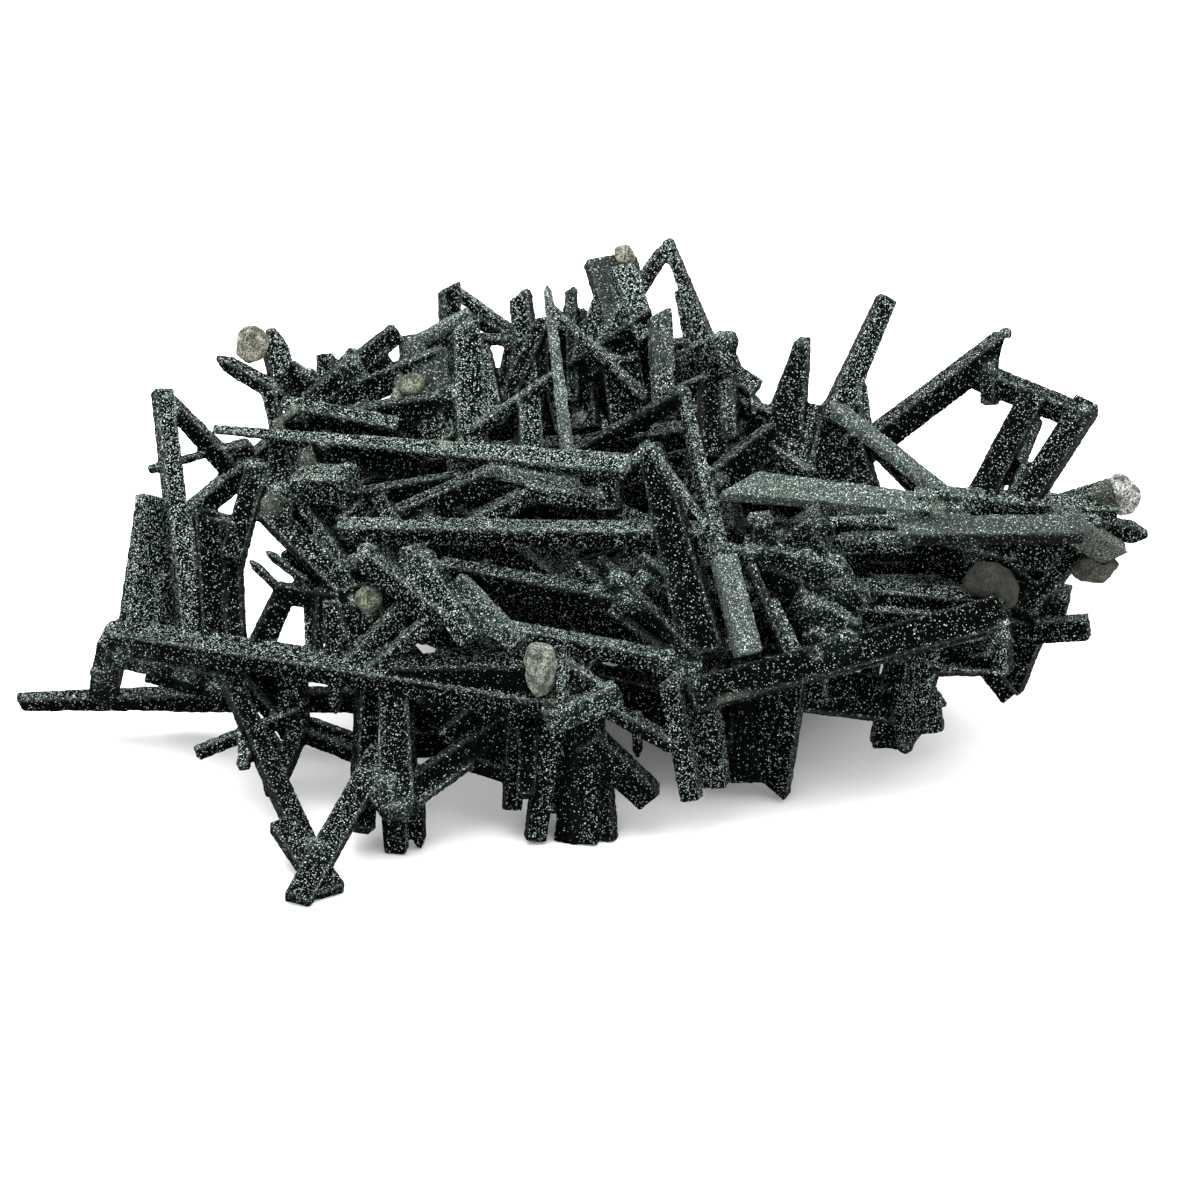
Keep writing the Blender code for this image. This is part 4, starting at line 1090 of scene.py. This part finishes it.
    def backing_slivers(self, pieces: list[bpy.types.Object]) -> list[Sliver]:
        """Lay slivers behind the front crystals wherever the mass can still be seen through.

        Args:
            pieces: The small crystals and lumps made so far.

        Returns:
            The slivers, each wedged between the crystals around one gap.
        """
        rng = random.Random(self.seed + 2)
        shapes = [self.shape] + [search_tree(piece) for piece in pieces]
        left, right = (bound(place[0] for place in MASS_OUTLINE) for bound in (min, max))
        top, bottom = (bound(place[1] for place in MASS_OUTLINE) for bound in (min, max))
        made = []
        for across in range(left, right, self.gap_step):
            for down in range(top, bottom, self.gap_step):
                if not self.inside_outline(across, down):
                    continue
                if self.depth_at(shapes, across, down) > self.gap_floor:
                    continue
                rim = [(across + x * self.gap_reach, down + y * self.gap_reach) for x, y in AROUND]
                around = [self.depth_at(shapes, *place) for place in rim]
                found = [depth for depth in around if depth > self.rim_floor]
                if len(found) < self.rims_wanted:
                    continue
                depth = min(found) - self.backing_drop
                turn = rng.uniform(0.0, math.pi)
                reach = rng.uniform(28.0, 55.0)
                step = (math.cos(turn) * reach, math.sin(turn) * reach)
                start = (across - step[0], down - step[1], depth - 1.0)
                end = (across + step[0], down + step[1], depth + 1.0)
                width = rng.uniform(2.0, 3.2)
                made.append(Sliver(start, end, width, width * 0.7, rng.uniform(-35.0, 35.0)))
                shapes.append(self.tree_of(made[-1]))
        log.info("%d slivers back the gaps", len(made))
        return made

    def tree_of(self, sliver: Sliver) -> BVHTree:
        """Search tree of one sliver."""
        piece = self.maker.copy(sliver)
        tree = search_tree(piece)
        drop(piece)
        return tree

    @staticmethod
    def depth_at(shapes: list[BVHTree], across: float, down: float) -> float:
        """How far out of the sheet the nearest surface is at a place, in millimetres.

        Args:
            shapes: Search trees of everything that may be seen there.
            across: Steps from the left.
            down: Steps from the top.

        Returns:
            The depth, or one far behind the sheet where nothing is.
        """
        start = LAYOUT.place(across, down, SIGHT)
        hits = [shape.ray_cast(start, -LAYOUT.out)[3] for shape in shapes]
        return SIGHT - min([hit / MM for hit in hits if hit is not None], default=2.0 * SIGHT)

    def inner_slivers(self) -> list[Sliver]:
        """Lay seeded slivers through the hollow inside and the back of the mass.

        Returns:
            The slivers, all over the mass outline, above the ground and inside the solid's box.
        """
        rng = random.Random(self.seed)
        made = []
        while len(made) < self.inner_count:
            start = Vector([rng.uniform(low, high) for low, high in self.inner_box])
            heading = rng.uniform(0.0, 2.0 * math.pi)
            rise = rng.uniform(-0.7, 0.7)
            reach = rng.uniform(12.0, 32.0)
            run = Vector((math.cos(heading), math.sin(heading) * 0.6, rise)).normalized() * reach
            ends = LAYOUT.sheet_of(np.array([start, start + run]) * MM)
            width = rng.uniform(1.6, 3.4)
            thick = width * rng.uniform(0.5, 0.85)
            roll = rng.uniform(-40.0, 40.0)
            finish = rng.choice(list(End))
            if self.fits(ends):
                start, end = (tuple(place) for place in ends)
                made.append(Sliver(start, end, width, thick, roll, finish=finish))
        return made

    def fits(self, ends: np.ndarray) -> bool:
        """True when a sliver between two layout places stays in the mass.

        Args:
            ends: Two layout places, one a row.

        Returns:
            Whether every sample of it is over the outline, behind the front and off the ground.
        """
        for share in np.linspace(0.0, 1.0, self.samples):
            across, down, out = ends[0] + (ends[1] - ends[0]) * share
            place = LAYOUT.place(across, down, out)
            front = (self.surface_at(across, down) - place).dot(LAYOUT.out)
            rise = max(0.0, place.z - self.slope_from)
            back = CAD_BOX[1].y - self.off_back - self.back_slope * rise
            if front < self.under_front or place.z < self.over_ground or place.y >= back:
                return False
            if not self.inside_outline(across, down):
                return False
        return True

    @staticmethod
    def inside_outline(across: float, down: float) -> bool:
        """True when a layout place is over the mass outline."""
        inside = False
        for (x0, y0), (x1, y1) in zip(MASS_OUTLINE, MASS_OUTLINE[1:] + MASS_OUTLINE[:1]):
            passes = (y0 > down) != (y1 > down)
            if passes and across < x0 + (down - y0) * (x1 - x0) / (y1 - y0):
                inside = not inside
        return inside

    def grow_crust(self, source: bpy.types.Object, name: str) -> bpy.types.Object:
        """Fuse a slab's crystals into one skin that follows their flat faces.

        Args:
            source: The slab's solid with its small crystals and lumps.
            name: Name of the piece.

        Returns:
            The piece.
        """
        piece = new_piece(name, source.data.copy())
        apply_modifier(piece, "REMESH", mode="VOXEL", voxel_size=self.voxel, adaptivity=0.0)
        apply_modifier(piece, "SHRINKWRAP", target=source, wrap_method="NEAREST_SURFACEPOINT")
        return piece

    def measure(self, piece: bpy.types.Object, source: bpy.types.Object) -> None:
        """Store what the druse reads, and let the crust swell in the corners between crystals.

        Args:
            piece: The fused skin.
            source: The sharp shape that it follows.
        """
        tree = search_tree(source)
        tones = self.facet_tones(source)
        places = points_of(piece)
        count = len(places)
        dust = np.zeros(count)
        spread = np.zeros(count)
        # painted light: the more a facet faces up, the more dust and light it gets; facets turned
        # away are left in painted shade
        for index in range(count):
            _, normal, face, _ = tree.find_nearest(places[index])
            dust[index] = normal.z * (0.85 + 0.3 * tones[face])
            spread[index] = tones[face]
        dust = np.clip((dust - self.dust_from) / self.dust_over, 0.0, 1.0)
        ridge, lit, corner = self.edge_distances(source, places)
        sheet = LAYOUT.sheet_of(places)
        layers = {name: self.lump_share(sheet, name) for name in LAYERS}
        dusted_and_lit = [("dust", amount, row) for amount in DUST_AND_LIGHT_BY_CRYSTAL for row in DUST_AND_LIGHT_BY_CRYSTAL[amount]]
        patches = [Patch(layer, amount, Crystal.of(row)) for layer, amount, row in PATCHES + dusted_and_lit]
        patches += [Patch(sliver.layer, sliver.tone, sliver) for sliver in self.laid if sliver.tone]
        steady = np.zeros(count)
        # a patch on the first layer is painted shade below zero and painted light above it, on rim
        # a painted highlight, on the other layers a real colour
        for patch in patches:
            share = patch.crystal.share(places)
            layers[patch.layer] += patch.amount * share
            steady = np.maximum(steady, share)
        # painted highlight along the upper outer edges, weaker on faces in painted shade; it also
        # lights the first layer below
        highlight_strength = np.clip(1.3 + layers["dust"], 0.35, 1.0)
        edge = np.clip(1.0 - ridge / self.rim_width, 0.0, 1.0) * lit * highlight_strength
        layers["rim"] += edge
        fillet = np.clip(1.0 - corner / self.fillet_reach, 0.0, 1.0)
        dust += (spread - self.tone_level) * (1.0 - steady)
        layers["crust"] = np.clip(0.3 * fillet + layers["crust"], 0.0, 1.0)
        layers["dust"] += dust + 0.5 * edge + 0.35 * layers["crust"]
        for name in LAYERS:
            layers[name] = np.clip(layers[name], -1.0 if name == "dust" else 0.0, 1.0)
            set_values(piece, name, layers[name])
        self.roughen(piece, layers["crust"], layers["bare"])

    def roughen(self, piece: bpy.types.Object, crust: np.ndarray, bare: np.ndarray) -> None:
        """Swell the crust and raise the druse grains, with procedural textures.

        Args:
            piece: The fused skin.
            crust: How much crust each vertex carries.
            bare: How bare each vertex is.
        """
        group = piece.vertex_groups.new(name="crust")
        rough = piece.vertex_groups.new(name="rough")
        for layer, values in ((group, crust), (rough, 1.0 - self.bare_calm * bare)):
            steps = np.round(values * self.grades) / self.grades
            for step in np.unique(steps):
                members = np.nonzero(steps == step)[0].tolist()
                layer.add(members, float(step), "REPLACE")
        for texture, grain, strength, members in (
            ("crust_swell", 1.3 * MM, 0.34 * MM, "crust"),
            ("druse_grain", 0.55 * MM, 0.16 * MM, "rough"),
            ("druse_wave", 2.4 * MM, 0.12 * MM, "rough"),
        ):
            apply_modifier(
                piece, "DISPLACE", texture=clouds(texture, grain), texture_coords="LOCAL",
                strength=strength, mid_level=0.25 if members == "crust" else 0.5,
                vertex_group=members,
            )
        piece.vertex_groups.clear()
        places = points_of(piece)
        places[:, 2] = np.maximum(places[:, 2], 0.0)
        set_points(piece, places)

    def thin(self, piece: bpy.types.Object) -> None:
        """Collapse the shortest edges of a skin that has too many triangles."""
        count = sum(len(face.vertices) - 2 for face in piece.data.polygons)
        if count > self.most_triangles:
            apply_modifier(piece, "DECIMATE", ratio=self.most_triangles / count)
        log.info("%s: %d triangles of %d", piece.name, min(count, self.most_triangles), count)

    def facet_tones(self, source: bpy.types.Object) -> list[float]:
        """One seeded tone for each flat facet, the same on all its triangles."""
        tones = {}
        result = []
        for face in source.data.polygons:
            normal = face.normal
            depth = normal.dot(face.center)
            turned = (round(value * self.normal_steps) for value in normal)
            key = (*turned, round(depth / self.depth_step))
            if key not in tones:
                tones[key] = random.Random(str(key)).random()
            result.append(tones[key])
        return result

    def edge_distances(self, source: bpy.types.Object, places: np.ndarray) -> list[np.ndarray]:
        """Distances to the nearest outer edge and to the nearest inner corner.

        Args:
            source: The sharp shape.
            places: The places to measure from.

        Returns:
            The distance to an outer edge, how much sky that edge sees, and the distance to a
            corner, each for every place.
        """
        mesh = source.data
        around: dict = {}
        for face in mesh.polygons:
            for key in face.edge_keys:
                around.setdefault(key, []).append(face.index)
        samples = {True: [], False: []}
        skies = {True: [], False: []}
        for (first, second), faces in around.items():
            if len(faces) != 2:
                continue
            one, two = (mesh.polygons[index] for index in faces)
            cut = max(abs(one.normal.x), abs(two.normal.x)) > self.cut_over
            if cut or one.normal.dot(two.normal) > self.sharp_under:
                continue
            convex = (two.center - one.center).dot(one.normal) < 0.0
            start = mesh.vertices[first].co
            run = mesh.vertices[second].co - start
            steps = max(1, int(run.length / self.edge_step))
            samples[convex] += [start + run * (step / steps) for step in range(steps + 1)]
            skies[convex] += [max(one.normal.z, two.normal.z)] * (steps + 1)
        result = []
        for convex in (True, False):
            tree = KDTree(len(samples[convex]))
            for index, place in enumerate(samples[convex]):
                tree.insert(place, index)
            tree.balance()
            found = [tree.find(place) for place in places]
            result.append(np.array([item[2] for item in found]))
            result.append(np.array([skies[convex][item[1]] for item in found]))
        return [result[0], np.clip((result[1] - 0.3) / 0.5, 0.0, 1.0), result[2]]

    def lump_share(self, sheet: np.ndarray, layer: str) -> np.ndarray:
        """How much of one layer the lumps give to each layout place."""
        share = np.zeros(len(sheet))
        for lump in LUMPS:
            if lump.layer != layer:
                continue
            reach = (lump.half[0] + lump.half[1]) / 2.0 * self.lump_reach * MM / LAYOUT.step
            away = np.hypot(sheet[:, 0] - lump.across, sheet[:, 1] - lump.down) / reach
            share = np.maximum(share, np.clip(self.lump_fade - away, 0.0, 1.0))
        return share * np.clip((sheet[:, 2] + self.lump_depth) / self.lump_depth, 0.0, 1.0)


# ---- nodules ----


@dataclass(frozen=True)
class Nodule:
    """A pale lump of another mineral, grown on the crystals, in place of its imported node."""

    node: str
    finish: NoduleFinish
    swell: float = 0.35 * MM
    voxel: float = 0.17 * MM
    pit: float = 0.30 * MM
    facets: int = 12
    chip: float = 0.80
    stretch: tuple = (1.0, 1.0, 1.0)

    def build(self, shape: BVHTree) -> bpy.types.Object:
        """Model the nodule from its node and dress it.

        Args:
            shape: Search tree of the crystals that carry it.

        Returns:
            The finished piece.
        """
        piece = merged_copy(self.node, "crusted_" + self.node)
        middle = Vector(points_of(piece).mean(axis=0))
        grow = LAYOUT.axes @ Matrix.Diagonal((*self.stretch, 1.0)) @ LAYOUT.axes.inverted()
        piece.data.transform(Matrix.Translation(middle) @ grow @ Matrix.Translation(-middle))
        self.chip_facets(piece, middle, (shape.find_nearest(middle)[0] - middle).normalized())
        apply_modifier(piece, "REMESH", mode="VOXEL", voxel_size=self.voxel, adaptivity=0.0)
        apply_modifier(piece, "SMOOTH", factor=0.5, iterations=1)
        for name, grain, strength in (
            ("nodule_form", 1.1 * MM, self.pit),
            ("nodule_pits", 0.35 * MM, 0.6 * self.pit),
        ):
            apply_modifier(
                piece, "DISPLACE", texture=clouds(name, grain), texture_coords="LOCAL",
                strength=strength,
            )
        places = points_of(piece) + normals_of(piece) * self.swell
        set_points(piece, places)
        piece.data.materials.clear()
        piece.data.materials.append(self.finish.material(piece.name))
        pick(piece)
        bpy.ops.object.shade_smooth()
        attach(piece, "root")
        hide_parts(self.node)
        log.info("%s: %d faces", piece.name, len(piece.data.polygons))
        return piece

    def chip_facets(self, piece: bpy.types.Object, middle: Vector, seat: Vector) -> None:
        """Cut flat facets all round, apart from the side that is grown on.

        Args:
            piece: The nodule's closed mesh.
            middle: Its middle.
            seat: Unit vector from there to the crystals.
        """
        rng = random.Random(self.node)
        pick(piece)
        for _ in range(self.facets):
            way = Vector([rng.gauss(0.0, 1.0) for _ in range(3)]).normalized()
            reach = max((vertex.co - middle).dot(way) for vertex in piece.data.vertices)
            if way.dot(seat) > 0.35:
                continue
            bpy.ops.object.mode_set(mode="EDIT")
            bpy.ops.mesh.select_all(action="SELECT")
            cut = {"plane_co": middle + way * (reach * self.chip), "plane_no": way}
            bpy.ops.mesh.bisect(**cut, use_fill=True, clear_outer=True)
            bpy.ops.object.mode_set(mode="OBJECT")


# Nodule finishes: slot, light parts, shaded parts and stains.
CREAM, GREY, GREEN, WHITE, BROWN, TAN = (NoduleFinish(*row) for row in (
    (Slot.PALE, (0.27, 0.29, 0.235), (0.065, 0.072, 0.055), (0.007, 0.009, 0.006)),
    (Slot.PALE, (0.34, 0.335, 0.270), (0.070, 0.070, 0.053), (0.007, 0.009, 0.006)),
    (Slot.PALE, (0.21, 0.23, 0.165), (0.045, 0.056, 0.038), (0.006, 0.008, 0.005)),
    (Slot.PALE, (0.46, 0.48, 0.44), (0.090, 0.094, 0.076), (0.008, 0.009, 0.007)),
    (Slot.BROWN, (0.032, 0.032, 0.025), (0.017, 0.017, 0.013), (0.006, 0.006, 0.005)),
    (Slot.BROWN, (0.062, 0.063, 0.048), (0.018, 0.019, 0.014), (0.004, 0.005, 0.004)),
))

NODULES = [
    Nodule("nodule_upper_left", GREY, stretch=(1.1, 1.3, 1.0)),
    Nodule("nodule_shoulder_green", GREEN),
    Nodule("nodule_summit", GREY),
    Nodule("nodule_left_inner", GREEN),
    Nodule("nodule_front", CREAM, pit=0.14 * MM, facets=18, chip=0.78, stretch=(1.0, 1.0, 1.7)),
    Nodule("nodule_right_disc", BROWN, pit=0.22 * MM, stretch=(1.0, 1.25, 1.8)),
    Nodule("nodule_right_low", TAN),
    Nodule("nodule_right_tip", WHITE, pit=0.12 * MM, facets=18, chip=0.70),
]


# ---- studio ----


@dataclass
class Studio:
    """White table, soft overhead light and the camera."""

    reach: float = 6.5
    view_width: float = 150.0 * MM
    view_middle: tuple = (600.0, 600.0, 15.0)
    sensor: float = 36.0
    sight_end: float = 60.0
    floor_size: float = 6.0
    lamp_place: tuple = (-0.10, 0.12, 0.90)
    lamp_size: tuple = (1.1, 1.0)
    lamp_power: float = 14.0
    lamp_aim: tuple = (0.0, 0.0, 0.02)
    room_light: float = 2.0

    def build(self) -> None:
        """Set up the floor, the lights, the world and the camera."""
        self.floor()
        self.lights()
        self.camera()
        log.info("studio ready")

    def floor(self) -> None:
        """Lay the white table at the level of the lowest crystal tips."""
        deselect_all()
        bpy.ops.mesh.primitive_plane_add(size=self.floor_size, location=(0.0, 0.0, 0.0))
        table = bpy.context.object
        table.name = "table"
        table.data.materials.append(FloorFinish().material())

    def lights(self) -> None:
        """Hang one large soft light overhead and brighten the room."""
        bpy.ops.object.light_add(type="AREA", location=self.lamp_place)
        key = bpy.context.object
        key.name = "overhead"
        key.data.shape = "RECTANGLE"
        key.data.size, key.data.size_y = self.lamp_size
        key.data.energy = self.lamp_power
        aim = Vector(self.lamp_aim) - key.location
        key.rotation_euler = aim.to_track_quat("-Z", "Y").to_euler()
        world = bpy.data.worlds.new("bright_room")
        bpy.context.scene.world = world
        world.use_nodes = True
        backdrop = world.node_tree.nodes["Background"]
        backdrop.inputs["Color"].default_value = (1.0, 1.0, 1.0, 1.0)
        backdrop.inputs["Strength"].default_value = self.room_light

    def camera(self) -> None:
        """Stand the camera square to the layout sheet, far off with a long lens."""
        bpy.ops.object.camera_add()
        camera = bpy.context.object
        camera.name = "camera"
        target = LAYOUT.place(*self.view_middle)
        camera.location = target + LAYOUT.out * self.reach
        camera.rotation_euler = (-LAYOUT.out).to_track_quat("-Z", "Y").to_euler()
        camera.data.sensor_width = self.sensor
        camera.data.lens = self.sensor * self.reach / self.view_width
        camera.data.clip_end = self.sight_end
        bpy.context.scene.camera = camera
        bpy.context.scene.view_settings.view_transform = "Standard"


# ---- main ----


def main() -> None:
    """Build the studio, the cluster and the nodules in order."""
    logging.basicConfig(level=logging.INFO, format="%(message)s")
    Studio().build()
    cluster = CrystalCluster()
    cluster.build(DruseFinish().material())
    for nodule in NODULES:
        nodule.build(cluster.shape)


if __name__ == "__main__":
    main()
